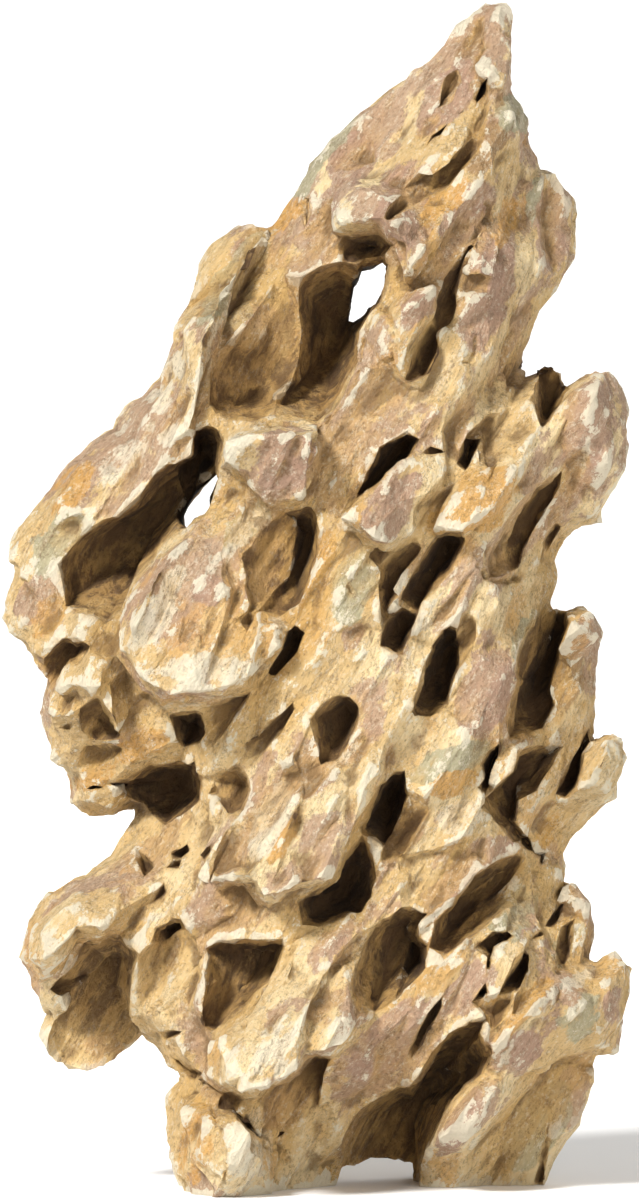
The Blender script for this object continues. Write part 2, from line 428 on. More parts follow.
    (((-33.3, 78), (-31.5, 80), (-29, 84.5), (-27, 88.5), (-28.5, 88), (-31.5, 84),
      (-33.5, 80)), (-29, 86), 5),
    (((-52, 131.5), (-51, 133.5), (-48, 135), (-45.5, 135), (-49, 133), (-51, 131)),
     (-48, 134), 3),
    (((-61, 63.7), (-56.9, 63.1), (-53.7, 65.4), (-50.8, 65.1), (-47.6, 61.9), (-47.7, 55),
      (-49, 45), (-46.4, 40.9), (-50.5, 36), (-54, 31), (-60.4, 28), (-65, 29), (-70, 32),
      (-70, 40), (-68.6, 43.8), (-65, 45.5), (-66, 50), (-70, 51.5), (-67.4, 54.9),
      (-64.5, 59)), (-54, 58), 22),
    (((-46.5, 60), (-47, 50), (-46, 44), (-42, 47.5), (-37, 52), (-33, 57), (-30.5, 60.5),
      (-31.5, 64), (-36, 68.5), (-42, 67.5), (-44, 62)), (-40, 64), 6.5),
    (((-43.2, 64.8), (-42.3, 66.9), (-40, 67.8), (-36, 69.5), (-33.6, 67.2), (-38.3, 65.4),
      (-41.8, 63.1)), (-37, 67.5), 13),
    (((-43, 44.5), (-39, 49), (-35, 54.5), (-31.5, 59), (-30.5, 57), (-31, 52), (-33, 47.5),
      (-36, 43), (-40, 42.5)), (-33, 52), 5.5),
    (((-29.5, 62), (-27, 63.8), (-23, 64.5), (-12, 64.3), (-8.8, 65), (-9.3, 61.5),
      (-11.5, 57), (-15, 52), (-21, 44.5), (-24, 42), (-28, 41), (-30.5, 43), (-30, 48),
      (-29.2, 53)), (-11.5, 61.5), 18),
    (((-45, 40.3), (-42.3, 41.2), (-39.4, 41.8), (-35.3, 41.5), (-36.5, 40.2), (-40.6, 38.4),
      (-42.9, 39.3)), (-37.5, 40.8), 8),
    (((-39.4, 35.4), (-37.1, 34.5), (-35.3, 32.8), (-30.7, 31.6), (-29.8, 30.4),
      (-32.4, 28.7), (-34.2, 29.6), (-38.3, 32.8)), (-33, 31), 9),
    (((-36.7, 23.8), (-35.9, 25.8), (-33.6, 28.1), (-31.3, 26.4), (-30.1, 25.2),
      (-33.6, 23.5)), (-32, 25.8), 6.5),
    (((-26.8, 22.6), (-25.4, 23.9), (-23.4, 23), (-21.2, 21.3), (-18.8, 19), (-16.5, 16.4),
      (-13.6, 11.8), (-17.3, 14.8), (-21.4, 19.2), (-23.7, 21.9)), (-21, 20.5), 8),
    (((-5.3, 32.8), (-8.5, 29.6), (-13.2, 27.5), (-16, 25.5), (-15.5, 22), (-14.8, 18),
      (-13, 15.2), (-7, 18), (-3, 20), (0, 21.5), (0.5, 30), (2.7, 34.8), (-1, 35.4),
      (-4, 35.3)), (0, 33.5), 14.5),
    (((-12.8, 14.1), (-11, 16.1), (-9, 16.4), (-10.2, 14.8)), (-10.5, 15.4), 5),
    (((-45.2, 73), (-42.3, 76.5), (-40, 78.8), (-38.8, 75.9), (-40.6, 73), (-44.1, 71.3)),
     (-40.5, 76.5), 3.5),
    # Middle low and right
    (((18.5, 106.5), (20.5, 107), (22, 106.2), (21.8, 102.8), (22.2, 100.5), (21.2, 98),
      (18.2, 90.2), (16, 87.2), (12.2, 90), (10.3, 90.8), (11.5, 95), (12.2, 99),
      (14.8, 103.8)), (18.5, 101), 26),
    (((22.3, 100), (24.3, 101), (26.8, 99), (27.8, 96.5), (24.3, 91.5), (19.8, 84.5),
      (16.8, 83), (15.3, 84.5), (16, 87.2), (19.8, 93.5)), (20, 91), 6.5),
    (((10.3, 89.8), (12.3, 88), (13.8, 84), (14, 79.5), (12.8, 75), (10.3, 71), (4.8, 69.5),
      (-1.8, 67.5), (-4.8, 68), (-5.8, 72), (-3.8, 75.5), (2.8, 78.8), (5.8, 85),
      (9.3, 89)), (4.5, 76), 23.5),
    (((-26.8, 77), (-24.3, 78.8), (-20.8, 79), (-17.8, 77), (-14.3, 72), (-18.8, 71.3),
      (-26.3, 75)), (-20, 77.5), 4),
    (((50.3, 86.5), (45.8, 84.5), (39.8, 81), (37.8, 79), (33.3, 72.5), (29.3, 69.5),
      (28.3, 62), (29.8, 61), (36.3, 66.5), (43.8, 72), (49.8, 79.5), (52.5, 85.5)),
     (41, 78), 21),
    (((51, 86.3), (55, 85.3), (57, 81), (58.5, 77), (55, 74.5), (50, 73), (45, 69.5),
      (41, 66.5), (36, 63), (31, 59.5), (30, 62), (40, 69), (47, 76)), (46, 76), 8),
    (((20.3, 84.5), (29.8, 87.5), (39.8, 91), (43.3, 92.5), (47.8, 89.5), (45.8, 85.5),
      (38.8, 80.5), (32.8, 73), (27.3, 70), (24.3, 72), (20.8, 72.5)), (39, 87), 3.5),
    (((40, 100.5), (42.8, 111.5), (44.8, 112.3), (46.3, 114), (44.8, 108.5), (43.8, 104.5),
      (41.8, 101)), (44, 109), 15.5),
    (((40, 98), (43.3, 101), (48.8, 107), (50.3, 112), (56.8, 113.3), (62.8, 113.5),
      (59.8, 108.5), (54.8, 101), (52.3, 100), (49.8, 99.5), (49.8, 95), (47.5, 92),
      (45.8, 92.8), (41.8, 97)), (51.5, 107), 21),
    (((47.5, 92), (48.8, 94), (50.8, 92.3), (54.3, 88), (55, 85.5), (52.8, 86.5),
      (48.8, 88.8)), (52, 89.5), 10.5),
    (((54.8, 86), (58.3, 87.2), (57.8, 85), (56.8, 82.6), (55.3, 84.5)), (56.8, 85.5), 6.5),
    (((69, 118.3), (67.3, 115), (63.8, 108), (60.5, 101), (61.3, 99.5), (63.3, 99.5),
      (65.3, 101.5), (66.8, 105.5), (68.5, 113)), (66.3, 110), 13),
    (((61, 182), (62, 181), (59, 174), (53, 165), (49.5, 156.5), (46, 155), (43, 154.7),
      (42.5, 157), (44, 162), (48, 170.5), (55, 178.5)), (57, 175.5), 9),
    (((55.5, 160.5), (57, 165), (60, 169), (62, 168.5), (58.5, 162), (57.5, 158),
      (56, 156)), (60, 167), 6.5),
    (((57, 147.5), (60.5, 147), (63, 146.7), (64.5, 143.5), (61.5, 140), (59.5, 131),
      (59, 126), (60, 122), (57, 117), (48, 114.5), (47.8, 119), (49, 126), (51, 137),
      (55.5, 144.5)), (55, 128), 14),
    (((48, 119), (50, 125), (54, 130), (58, 137), (61, 146), (63.5, 146), (64.3, 143.5),
      (62, 139), (59.5, 131), (57, 124), (52, 119.5), (49, 117)), (60, 139), 19.5),
    (((54.2, 64.8), (55.8, 66.7), (57.5, 66), (56.5, 63.8)), (56, 65.5), 5),
    (((39.8, 63), (42.3, 65), (44.3, 66.3), (47.3, 66.5), (50.3, 65), (47, 64), (44.5, 62),
      (43.8, 58.5), (43, 56), (42, 57), (42.6, 60.5), (41, 61)), (45, 65), 10.5),
    (((45.5, 51.2), (48.5, 56.5), (50, 59), (51.8, 61), (53.4, 60), (53, 57), (50, 51)),
     (51.3, 58), 17),
    (((38.4, 48.7), (39, 50.5), (41.5, 53.6), (42.8, 53.2), (43.3, 51.5), (40.5, 49.5)),
     (42, 52), 14.5),
    (((38.5, 47.5), (42, 50), (49.8, 50.8), (49.5, 48.5), (47, 45), (44, 42), (42.5, 45)),
     (44, 46), 6.5),
    (((57.3, 67.3), (58.8, 69.5), (61.3, 73.5), (62.8, 73.2), (60.8, 68.5), (58.8, 66.8)),
     (60.8, 71.5), 6.5),
    (((66, 70.5), (63.3, 69), (61.3, 66), (59.8, 61), (60.5, 57), (62.3, 57.5), (64.3, 60.5),
      (65, 64.5)), (63.2, 66), 6.5),
    (((9, 46), (8, 50), (8.5, 55), (11, 64), (13, 67.5), (17.8, 69.8), (19.5, 72), (24, 72.3),
      (27.5, 70.2), (25.3, 68), (25, 66), (27, 63), (27.3, 60), (27, 57.5), (21, 51),
      (14, 45.5)), (20, 66), 18),
    (((19.5, 54), (20, 60), (20.5, 65), (24, 66), (27, 63), (27, 57.5), (24, 54),
      (20.5, 51)), (25.5, 62), 21),
    (((21.4, 33.4), (23, 37), (25, 41), (27.2, 46), (31.5, 52.4), (31.3, 49.5), (29.5, 45.5),
      (26.5, 40), (24, 36), (22.6, 33)), (28.8, 47), 10.5),
    (((43, 44.7), (38, 44.3), (36, 43), (32.5, 41), (29, 36.5), (24.5, 29.5), (19.5, 27.7),
      (14.5, 24.7), (9, 20.3), (7, 17.5), (5.5, 11), (4.5, -8), (25, -8), (25.5, 8),
      (30, 15.5), (36, 25), (38, 28), (41, 30), (43.8, 35.5), (43, 38), (41.3, 40.3)),
     (24, 22), 40),
    (((37, 9), (43, 17), (48.5, 25), (49.5, 28.8), (55, 31.2), (58, 33.5), (62, 35.3),
      (67, 36), (70, 35.6), (71, 26), (66, 14), (60, 2), (52, -6), (38, -6)),
     (61, 33), 10.5),
    (((50, 43), (57, 48), (60, 50.5), (66, 51.2), (71, 50), (73, 44), (72, 38), (62, 35.5),
      (55, 31.5), (50, 30), (48.5, 36)), (60, 46), 2),
)

# Openings right through the rock, as x, z corners
OPENINGS = (
    ((10.3, 233.3), (13.3, 234), (16, 234.8), (17.5, 233.3), (16.3, 227.5), (14.8, 224),
     (12.3, 223), (10.3, 219.5), (6.8, 219.4), (7.5, 224), (8.8, 229.5)),
    ((-26, 182.3), (-30.3, 179), (-33.3, 175.5), (-35.6, 171.5), (-36, 167.5), (-34.3, 166.8),
     (-32.8, 169), (-29.3, 170.5), (-27.8, 173.5), (-26.5, 177), (-25.5, 180)),
)

# Hollows in the back: from x, z to x, z, width, depth
BACK_HOLLOWS = (
    (-20, 30, -4, 66, 20, 26), (-9, 22, 4, 44, 10, 12), (20, 26, 48, 68, 20, 14),
    (-70, 50, -58, 72, 9, 6), (-48, 62, -32, 90, 12, 12), (-14, 92, 16, 134, 22, 24),
    (30, 82, 42, 104, 16, 18), (44, 96, 58, 122, 11, 12), (-50, 100, -30, 128, 17, 18),
    (-30, 128, -20, 146, 9, 12), (0, 144, 26, 182, 16, 22), (-34, 150, -10, 190, 19, 18),
    (-68, 126, -52, 148, 15, 12), (-52, 150, -44, 168, 8, 12), (32, 136, 46, 156, 15, 14),
    (50, 150, 58, 166, 7, 8), (28, 184, 40, 200, 16, 14), (38, 196, 54, 218, 12, 12),
    (-8, 186, 4, 214, 13, 9), (-36, 192, -20, 222, 13, 12), (22, 224, 40, 248, 14, 12),
    (4, 238, 18, 264, 9, 8), (38, 262, 44, 280, 6, 5), (-35, 4, -20, 26, 14, 12),
    (44, 4, 60, 28, 13, 12), (58, 44, 72, 58, 9, 9), (10, 62, 30, 86, 15, 13),
    (62, 176, 72, 198, 8, 8), (62, 98, 73, 112, 7, 7), (-58, 92, -48, 106, 8, 8),
    (-12, 160, 0, 178, 9, 8), (22, 118, 32, 142, 10, 9), (-46, 176, -36, 192, 8, 8),
    (14, 196, 22, 216, 8, 7), (48, 236, 56, 252, 7, 6), (-26, 84, -16, 100, 8, 8),
    (52, 66, 62, 82, 8, 8), (14, 48, 22, 60, 7, 8), (40, 216, 48, 230, 6, 7),
)

# Cracks in the front: the points that each runs through
CRACKS = (
    ((0, 194), (-1.5, 189), (-2.5, 183)),
    ((1, 193), (4.5, 198), (8, 203), (10, 208.5), (11, 214)),
    ((18.5, 238.5), (20.5, 237.5), (20.2, 233), (20, 229), (21.5, 227.3), (24, 227), (25, 229.5),
     (24.5, 231)),
    ((14.5, 224), (16, 222), (17.5, 220), (18, 217.5), (18.5, 209), (15, 208), (10, 208)),
    ((36, 208.5), (38.5, 209), (39.7, 211.5), (39.8, 214.5)),
    ((42, 244), (42.5, 254)),
    ((37, 233), (38.5, 238), (40.5, 243)),
    ((45, 292.5), (48, 291)),
    ((6.5, 153.5), (8, 151.5)),
    ((50, 130), (52, 136), (54, 142)),
    ((39.6, 161.5), (40, 158), (41.5, 155.3), (43.5, 154), (47, 154.2), (51, 155)),
    ((-44, 46), (-39, 50), (-35, 55), (-30, 61.5)),
    ((-20, 43), (-15, 50), (-10, 57), (-7, 62)),
    ((-14, 47.8), (-15, 49)),
    ((-9, 54), (-6, 57)),
    ((1, 54.5), (5, 58), (10, 61)),
    ((24.5, 38.5), (26.5, 42), (28, 41)),
    ((-17, 15), (-14, 12)),
    ((-38, 34), (-25, 25), (-15, 16), (-8, 8)),
    ((-27.5, 22), (-26, 15), (-24.5, 8), (-24.8, 3)),
)

# Worn crests of the front, paler than the faces beside them
CRESTS = (
    ((-12, 243), (-15, 240), (-22, 228), (-28, 215), (-29.5, 205), (-31, 197)),
    ((-28, 195), (-20, 191.5), (-16, 192.5), (-12.5, 195.3), (-9, 194), (-4, 193.7), (-1, 192.3)),
    ((-3, 243), (-1, 250), (-2, 257), (3, 265), (10, 270), (17, 271)),
    ((-51, 144), (-49, 150), (-44, 157), (-36, 166), (-30, 172)),
    ((-40, 122.5), (-33, 123), (-25, 124.5), (-20, 125.5), (-17, 127)),
    ((-17, 145), (-12, 145), (-9, 142), (-10, 137), (-13, 133), (-19, 130)),
    ((5, 169), (7, 168), (13, 163), (16, 162), (18, 162), (24, 166), (27, 174), (33, 177)),
    ((-25, 79), (-20, 79), (-17, 77.5), (-15, 74), (-12, 73), (-8, 76), (-4, 77), (0, 79), (3, 79)),
    ((-19, 82), (-12, 91), (-6, 99), (0, 105), (5, 109), (9, 113)),
    ((-28, 80), (-24, 86), (-20, 93), (-18, 100), (-18, 105)),
    ((22, 136), (28, 146), (34, 157)),
    ((57, 147), (54, 142), (52, 139.5), (50, 133), (49.5, 128), (48.5, 121), (47, 115)),
    ((41.8, 100), (43.8, 101.5), (45.8, 106), (48.3, 110), (49.3, 114.5)),
    ((53.3, 97), (56.8, 101.5), (59.3, 108), (62.8, 113)),
    ((58.3, 99.5), (61.3, 106), (64.8, 112), (66.8, 116), (69.3, 120)),
    ((-48, 68), (-40, 71.5), (-33, 75.5), (-28, 80)),
    ((-15, 26), (-8, 30), (-4, 34.5), (2, 36), (6, 38), (8, 41), (11, 44.5)),
    ((9, 45), (14, 46), (20, 49.5), (27, 54.5), (33, 60), (40, 64)),
    ((44.3, 58), (44.3, 61), (46.8, 63.5), (50.3, 64.8), (52.8, 63.5)),
    ((44, 30), (50, 38), (60, 50), (62, 55)),
    ((36, 10), (42, 19), (48.5, 28)),
    ((60, 52), (65, 55), (70, 57)),
    ((68, 181), (68, 190)),
)

# Coloured patches of the front: which colour, the middle, half the length and width, the turn in
# degrees, and how strong
PATCHES = (
    ("rust", -9, 246, 8, 3, 55, 0.7),
    ("rust", 47, 243, 9, 3, 75, 0.6),
    ("rust", 32, 250, 9, 3.5, 40, 0.8),
    ("rust", -64, 177, 10, 4, 55, 0.8),
    ("rust", -70, 145, 7, 4, 60, 0.7),
    ("rust", -45, 113, 8, 3.5, 25, 0.9),
    ("rust", -58, 106, 7, 4, 40, 0.8),
    ("rust", 41, 174, 12, 6.5, 35, 1.0),
    ("rust", 30, 169, 5, 3, 60, 0.8),
    ("rust", -1, 157, 12, 4, 70, 0.8),
    ("rust", 33, 103, 8, 3, 20, 0.9),
    ("rust", -9, 90, 8, 2.8, 50, 0.9),
    ("rust", 57, 93, 7, 4, 65, 0.6),
    ("rust", -31, 14, 12, 5, 80, 0.65),
    ("rust", -17, 200, 8, 5, 50, 0.8),
    ("rust", 52, 47, 13, 3, 55, 0.6),
    ("rust", 62, 24, 10, 2.5, 60, 0.6),
    ("rust", -10, 218, 7, 3, 60, 0.6),
    ("mauve", 8, 260, 8, 6, 50, 0.8),
    ("mauve", 33, 276, 12, 6, 55, 0.8),
    ("mauve", -20, 212, 15, 8, 60, 0.9),
    ("sage", -21, 222, 8, 3, 60, 0.7),
    ("mauve", 20, 243, 12, 7, 60, 0.8),
    ("mauve", 43, 226, 16, 7, 75, 0.8),
    ("mauve", 27, 226, 12, 5, 60, 0.8),
    ("mauve", 0, 246, 8, 4, 50, 0.7),
    ("brown", 38, 286, 9, 3, 60, 0.8),
    ("brown", 42, 263, 8, 5, 60, 0.7),
    ("mauve", 19, 255, 4, 3, 50, 0.8),
    ("mauve", 37, 245, 11, 6, 60, 0.8),
    ("mauve", 53, 70, 6, 4, 60, 0.8),
    ("mauve", 60, 244, 12, 4, 85, 0.9),
    ("mauve", -28, 152, 6, 4, 60, 0.8),
    ("mauve", -9, 183, 10, 8, 60, 0.85),
    ("mauve", 17, 172, 11, 7, 60, 0.7),
    ("mauve", 8, 140, 5, 3, 60, 0.7),
    ("mauve", 68, 191, 16, 7, 80, 0.9),
    ("mauve", -72, 150, 8, 5, 60, 0.8),
    ("mauve", 42, 126, 12, 7, 65, 0.9),
    ("mauve", -16, 104, 10, 2.5, 65, 0.8),
    ("mauve", 20, 39, 15, 8, 35, 0.9),
    ("mauve", 38, 52, 9, 6, 50, 0.8),
    ("mauve", -8, 24, 9, 6, 60, 0.8),
    ("mauve", 36, 19, 12, 4, 60, 0.8),
    ("mauve", 52, 37, 6, 4, 60, 0.8),
    ("mauve", 75, 47, 6, 3, 80, 0.6),
    ("sage", 0, 260, 14, 2.5, 50, 0.8),
    ("brown", 8, 262, 6, 5, 50, 0.8),
    ("brown", 56, 130, 14, 6, 75, 1.0),
    ("sage", 52, 140, 8, 2, 70, 0.8),
    ("sage", 49, 271, 6, 5, 60, 0.8),
    ("sage", 55, 251, 6, 2, 80, 0.8),
    ("sage", -22, 230, 16, 4, 55, 0.8),
    ("sage", -66, 164, 9, 6, 50, 1.0),
    ("sage", 9, 153, 11, 6, 65, 0.8),
    ("sage", 32, 109, 11, 4.5, 20, 0.9),
    ("sage", 15, 59, 9, 4, 60, 0.7),
    ("sage", 49, 71, 9, 7, 45, 0.7),
    ("sage", 67, 45, 8, 5, 60, 0.7),
    ("sage", 63, 64, 7, 3, 60, 0.7),
    ("sage", 56, 18, 15, 7, 60, 0.8),
    ("brown", -17, 240, 6, 3, 50, 0.8),
    ("brown", -28, 223, 7, 3, 60, 0.8),
    ("brown", 22, 92, 10, 5, 60, 0.8),
    ("brown", 15, 14, 11, 6, 30, 0.8),
    ("brown", 52, 16, 12, 4, 60, 0.7),
    ("pale", -37, 208, 4, 3, 60, 0.9),
    ("pale", -41, 200, 4, 2.5, 60, 0.9),
    ("pale", -39, 190, 4, 2.5, 60, 0.9),
    ("pale", -22, 185, 8, 3, 70, 0.8),
    ("pale", -20, 165, 11, 2.2, 45, 0.9),
    ("pale", 8, 170, 3, 2, 60, 0.9),
    ("pale", -13, 94, 13, 4, 63, 0.8),
    ("pale", 68, 185, 6, 1.5, 80, 0.8),
    ("pale", -12, 37, 9, 6, 60, 0.55),
    ("pale", -18, 12, 11, 6, 80, 0.6),
    ("pale", 65, 54, 6, 2, 20, 0.9),
    ("pale", -42, 145, 14, 4.5, 62, 0.75),
    ("pale", -30, 132, 15, 4, 5, 0.75),
    ("pale", -50, 187, 13, 4, 50, 0.55),
    ("mauve", -15, 156, 10, 5, 62, 0.9),
    ("sage", -19, 167, 9, 3, 45, 1.0),
    ("mauve", 41, 83, 14, 5, 38, 0.9),
    ("mauve", 3, 62, 8, 5, 60, 0.7),
    ("brown", 64, 128, 10, 4, 78, 0.6),
    ("pale", 36, 94, 8, 5, 30, 0.5),
)


def tint(red, green, blue, alpha=1.0):
    """A colour given as it looks on a screen, 0 to 255, in Blender's linear numbers."""
    return tuple((part / 255) ** 2.2 for part in (red, green, blue)) + (alpha,)


# --- Shape ---------------------------------------------------------------------------------------


def coordinates(mesh):
    """Each point's place, in metres."""
    flat = np.empty(len(mesh.vertices) * 3)
    mesh.vertices.foreach_get("co", flat)
    return flat.reshape(-1, 3)


def directions(mesh):
    """The way that each point faces."""
    flat = np.empty(len(mesh.vertices) * 3)
    mesh.vertex_normals.foreach_get("vector", flat)
    return flat.reshape(-1, 3)


def move_vertices(mesh, places):
    mesh.vertices.foreach_set("co", np.ascontiguousarray(places, np.float32).ravel())
    mesh.update()


def activate(obj):
    bpy.ops.object.select_all(action="DESELECT")
    obj.select_set(True)
    bpy.context.view_layer.objects.active = obj


def apply_modifier(obj, kind, **settings):
    activate(obj)
    modifier = obj.modifiers.new(kind.lower(), kind)
    for name, value in settings.items():
        setattr(modifier, name, value)
    bpy.ops.object.modifier_apply(modifier=modifier.name)


def remesh(obj, voxel):
    apply_modifier(obj, "REMESH", mode="VOXEL", voxel_size=voxel * MM)


def cut(obj, cutter):
    """Takes the cutter's shape out of the object, and removes the cutter."""
    apply_modifier(obj, "BOOLEAN", object=cutter, operation="DIFFERENCE", solver="MANIFOLD")
    bpy.data.objects.remove(cutter)


def edge_distance(x, z, corners):
    """How far each point lies from the nearest side of a polygon."""
    nearest = np.full(len(x), np.inf)
    corners = np.array(corners, float)
    for start, end in zip(corners, np.roll(corners, -1, axis=0)):
        nearest = np.minimum(nearest, side_distance(x, z, start, end))
    return nearest


def side_distance(x, z, start, end):
    along = end - start
    share = ((x - start[0]) * along[0] + (z - start[1]) * along[1]) / (along @ along)
    share = np.clip(share, 0, 1)
    return np.hypot(x - start[0] - share * along[0], z - start[1] - share * along[1])


def within(x, z, corners):
    """Whether each point lies inside a polygon."""
    inside = np.zeros(len(x), bool)
    corners = np.array(corners, float)
    for start, end in zip(corners, np.roll(corners, -1, axis=0)):
        rise = end[1] - start[1]
        if rise == 0:
            continue
        crosses = (start[1] > z) != (end[1] > z)
        inside ^= crosses & (x < start[0] + (z - start[1]) * (end[0] - start[0]) / rise)
    return inside


def spread(points, x, z, soft=DEPTH_BLEND):
    """A smooth surface through hand-set values: x, z, value."""
    total = np.zeros(len(x))
    weights = np.zeros(len(x))
    for px, pz, value in points:
        weight = 1.0 / ((x - px) ** 2 + (z - pz) ** 2 + soft**2) ** BLEND_POWER
        total += weight * value
        weights += weight
    return total / weights


def slab_relief(x, z):
    """How far the slabs stand out at each point of the front."""
    relief = np.zeros(len(x))
    for corners, low, high, height, shoulder in SLABS:
        inside = np.flatnonzero(within(x, z, corners))
        px, pz = x[inside], z[inside]
        rise = np.subtract(high, low)
        share = ((px - low[0]) * rise[0] + (pz - low[1]) * rise[1]) / (rise @ rise)
        edge = np.clip(edge_distance(px, pz, corners) / shoulder, 0, 1)
        round_in = np.minimum(SHOULDER_STEEPNESS * edge, 1.0) ** SHOULDER_POWER
        relief[inside] += SLAB_BOLDNESS * height * np.clip(share, 0, OVERSHOOT) * round_in
    return relief


def chip_relief(x, z, offset, size=1.0):
    """Long chipped faces that meet in ridges along the grain."""
    wander = np.array([
        noise.noise_vector(Vector((a * WANDER_SCALE, offset, b * WANDER_SCALE)))
        for a, b in zip(x, z)
    ])
    x = (x + wander[:, 0] * CHIP_WANDER) / size
    z = (z + wander[:, 2] * CHIP_WANDER) / size
    along = (x * math.cos(GRAIN) + z * math.sin(GRAIN)) / CHIP_LENGTH
    across = (x * math.sin(GRAIN) - z * math.cos(GRAIN)) / CHIP_WIDTH
    column = np.floor(across).astype(int)
    best = np.full(len(x), -np.inf)
    random = np.random.default_rng(SEED + int(offset))
    jitter = random.random((4, CHIP_TABLE, CHIP_TABLE))
    for side in (-1, 0, 1):
        for step in (-1, 0, 1):
            cell_across = column + side
            stagger = 0.5 * (cell_across % 2)
            cell_along = np.floor(along - stagger).astype(int) + step
            pick = (cell_across % CHIP_TABLE, cell_along % CHIP_TABLE)
            off_across = across - cell_across - 0.2 - 0.6 * jitter[0][pick]
            off_along = along - stagger - cell_along - 0.2 - 0.6 * jitter[1][pick]
            tilt = (jitter[3][pick] - 0.5) * CHIP_TILT
            face = (CHIP_RELIEF * jitter[2][pick]
                    - CHIP_FALL_ALONG * CHIP_LENGTH * np.abs(off_along)
                    - CHIP_FALL_ACROSS * CHIP_WIDTH * (np.abs(off_across) + tilt * off_across))
            best = np.maximum(best, face)
    return best * size


def swell(places):
    """Moves the flat blank's front and back to their depths, thin at the rim and rounding in from it."""
    x, y, z = (places / MM).T
    inside = np.clip(edge_distance(x, z, OUTLINE) / EDGE_ROUND, 0, 1)
    edge = RIM_THICKNESS + (1 - RIM_THICKNESS) * np.sqrt(1 - (1 - inside) ** 2)
    share = y / BLANK_HALF
    shelves = SHELF_STEP * plate_edges(grain_frame(places), SHELF_WIDTH, SHELF_START)
    front = (spread(FRONT, x, z) + slab_relief(x, z) + chip_relief(x, z, FRONT_PATTERN) + shelves) * edge
    back = (spread(BACK, x, z) + BACK_RELIEF * chip_relief(x, z, BACK_PATTERN) + shelves) * edge
    rim = spread(RIM, x, z, RIM_BLEND) * (1 - RIM_FADE * inside)
    depth = rim + np.where(share < 0, front, back) * share
    return np.stack([x, depth, z], axis=1) * MM


def chip_sides(mesh):
    """Chips the faces that look to the left and right."""
    places = coordinates(mesh)
    normals = directions(mesh)
    x, y, z = (places / MM).T
    relief = chip_relief(y, z, SIDE_PATTERN) - SIDE_MEAN
    sideways = normals[:, :1] ** 2
    move_vertices(mesh, places + normals * sideways * relief[:, None] * SIDE_RELIEF * MM)


def make_blank():
    """The outline as one flat face, drawn out from front to back and swelled to its depths."""
    bpy.ops.object.select_all(action="DESELECT")
    bpy.ops.mesh.primitive_circle_add(vertices=len(OUTLINE), fill_type="NGON")
    blank = bpy.context.object
    blank.name = blank.data.name = "stone"
    for vert, (x, z) in zip(blank.data.vertices, OUTLINE):
        vert.co = Vector((x, -BLANK_HALF, z)) * MM
    bpy.ops.object.mode_set(mode="EDIT")
    bpy.ops.mesh.select_all(action="SELECT")
    bpy.ops.mesh.extrude_region_move(
        TRANSFORM_OT_translate={"value": (0, 2 * BLANK_HALF * MM, 0), "orient_type": "GLOBAL"}
    )
    bpy.ops.mesh.select_all(action="SELECT")
    bpy.ops.mesh.quads_convert_to_tris()
    bpy.ops.mesh.normals_make_consistent(inside=False)
    bpy.ops.object.mode_set(mode="OBJECT")
    remesh(blank, BLANK_VOXEL)
    move_vertices(blank.data, swell(coordinates(blank.data)))
    remesh(blank, BLANK_VOXEL)
    chip_sides(blank.data)
    return blank


class Surface:
    """The front or the back of the blank, to set hollows on."""

    def __init__(self, obj, side):
        self.side = side
        self.tree = BVHTree.FromObject(obj, bpy.context.evaluated_depsgraph_get())

    def depth(self, x, z):
        start = Vector((x * MM, self.side * FAR, z * MM))
        hit = self.tree.ray_cast(start, Vector((0, -self.side, 0)))[0]
        if hit is None:
            rim = spread(RIM, np.array([x]), np.array([z]), RIM_BLEND)[0]
            return rim + self.side * RIM_EDGE
        return hit.y / MM


def uneven_mouth(corners, random):
    """The mouth's corners with points set between them, each a little off the straight line."""
    points = []
    corners = np.array(corners, float)
    for start, end in zip(corners, np.roll(corners, -1, axis=0)):
        length = np.hypot(*(end - start))
        steps = max(1, round(length / MOUTH_STEP))
        for step in range(steps):
            point = start + (end - start) * step / steps
            if step:
                point = point + random.normal(0, MOUTH_WANDER, 2)
            points.append(point)
    return np.array(points)


def add_hollow(shape, surface, corners, deepest, depth, random):
    """Adds a hollow's cutter: straight out of the rock at the mouth, closing in on the deepest point."""
    mouth = uneven_mouth(corners, random)
    mouth_depth = np.array([surface.depth(x, z) for x, z in mouth])
    end_depth = surface.depth(*deepest) - surface.side * depth
    out = surface.side * CUTTER_REACH
    rings = [[shape.verts.new(Vector((x, y + out, z)) * MM) for (x, z), y in zip(mouth, mouth_depth)]]
    for share in DRAWN_AT:
        size = (1 - share**WALL_POWER) ** (1 / WALL_POWER)
        flat = np.array(deepest) + (mouth - deepest) * size
        level = mouth_depth + (end_depth - mouth_depth) * share
        rings.append([shape.verts.new(Vector((x, y, z)) * MM) for (x, z), y in zip(flat, level)])
    join_rings(shape, rings)


def join_rings(shape, rings):
    """Skins a row of rings and closes both ends."""
    for near, far in zip(rings, rings[1:]):
        count = len(near)
        for i in range(count):
            j = (i + 1) % count
            shape.faces.new((near[i], near[j], far[j], far[i]))
    shape.faces.new(rings[0][::-1])
    shape.faces.new(rings[-1])


def teardrop(x0, z0, x1, z1, width, random):
    """A crooked mouth that opens from its tail at x0, z0 and is widest near its head at x1, z1."""
    along = np.array([x1 - x0, z1 - z0], float)
    across = np.array([along[1], -along[0]]) / np.hypot(*along)
    tail = np.array([x0, z0])
    crook = random.normal(0, 0.12)
    corners = []
    for side in (1, -1):
        profile = TEARDROP if side == 1 else TEARDROP[::-1]
        for share, half in profile:
            reach = side * half * random.uniform(0.6, 1.35) + crook * math.sin(share * math.pi)
            slip = share + random.normal(0, 0.03)
            corners.append(tail + along * slip + across * reach * width)
    return corners, tail + along * random.uniform(0.7, 0.9)


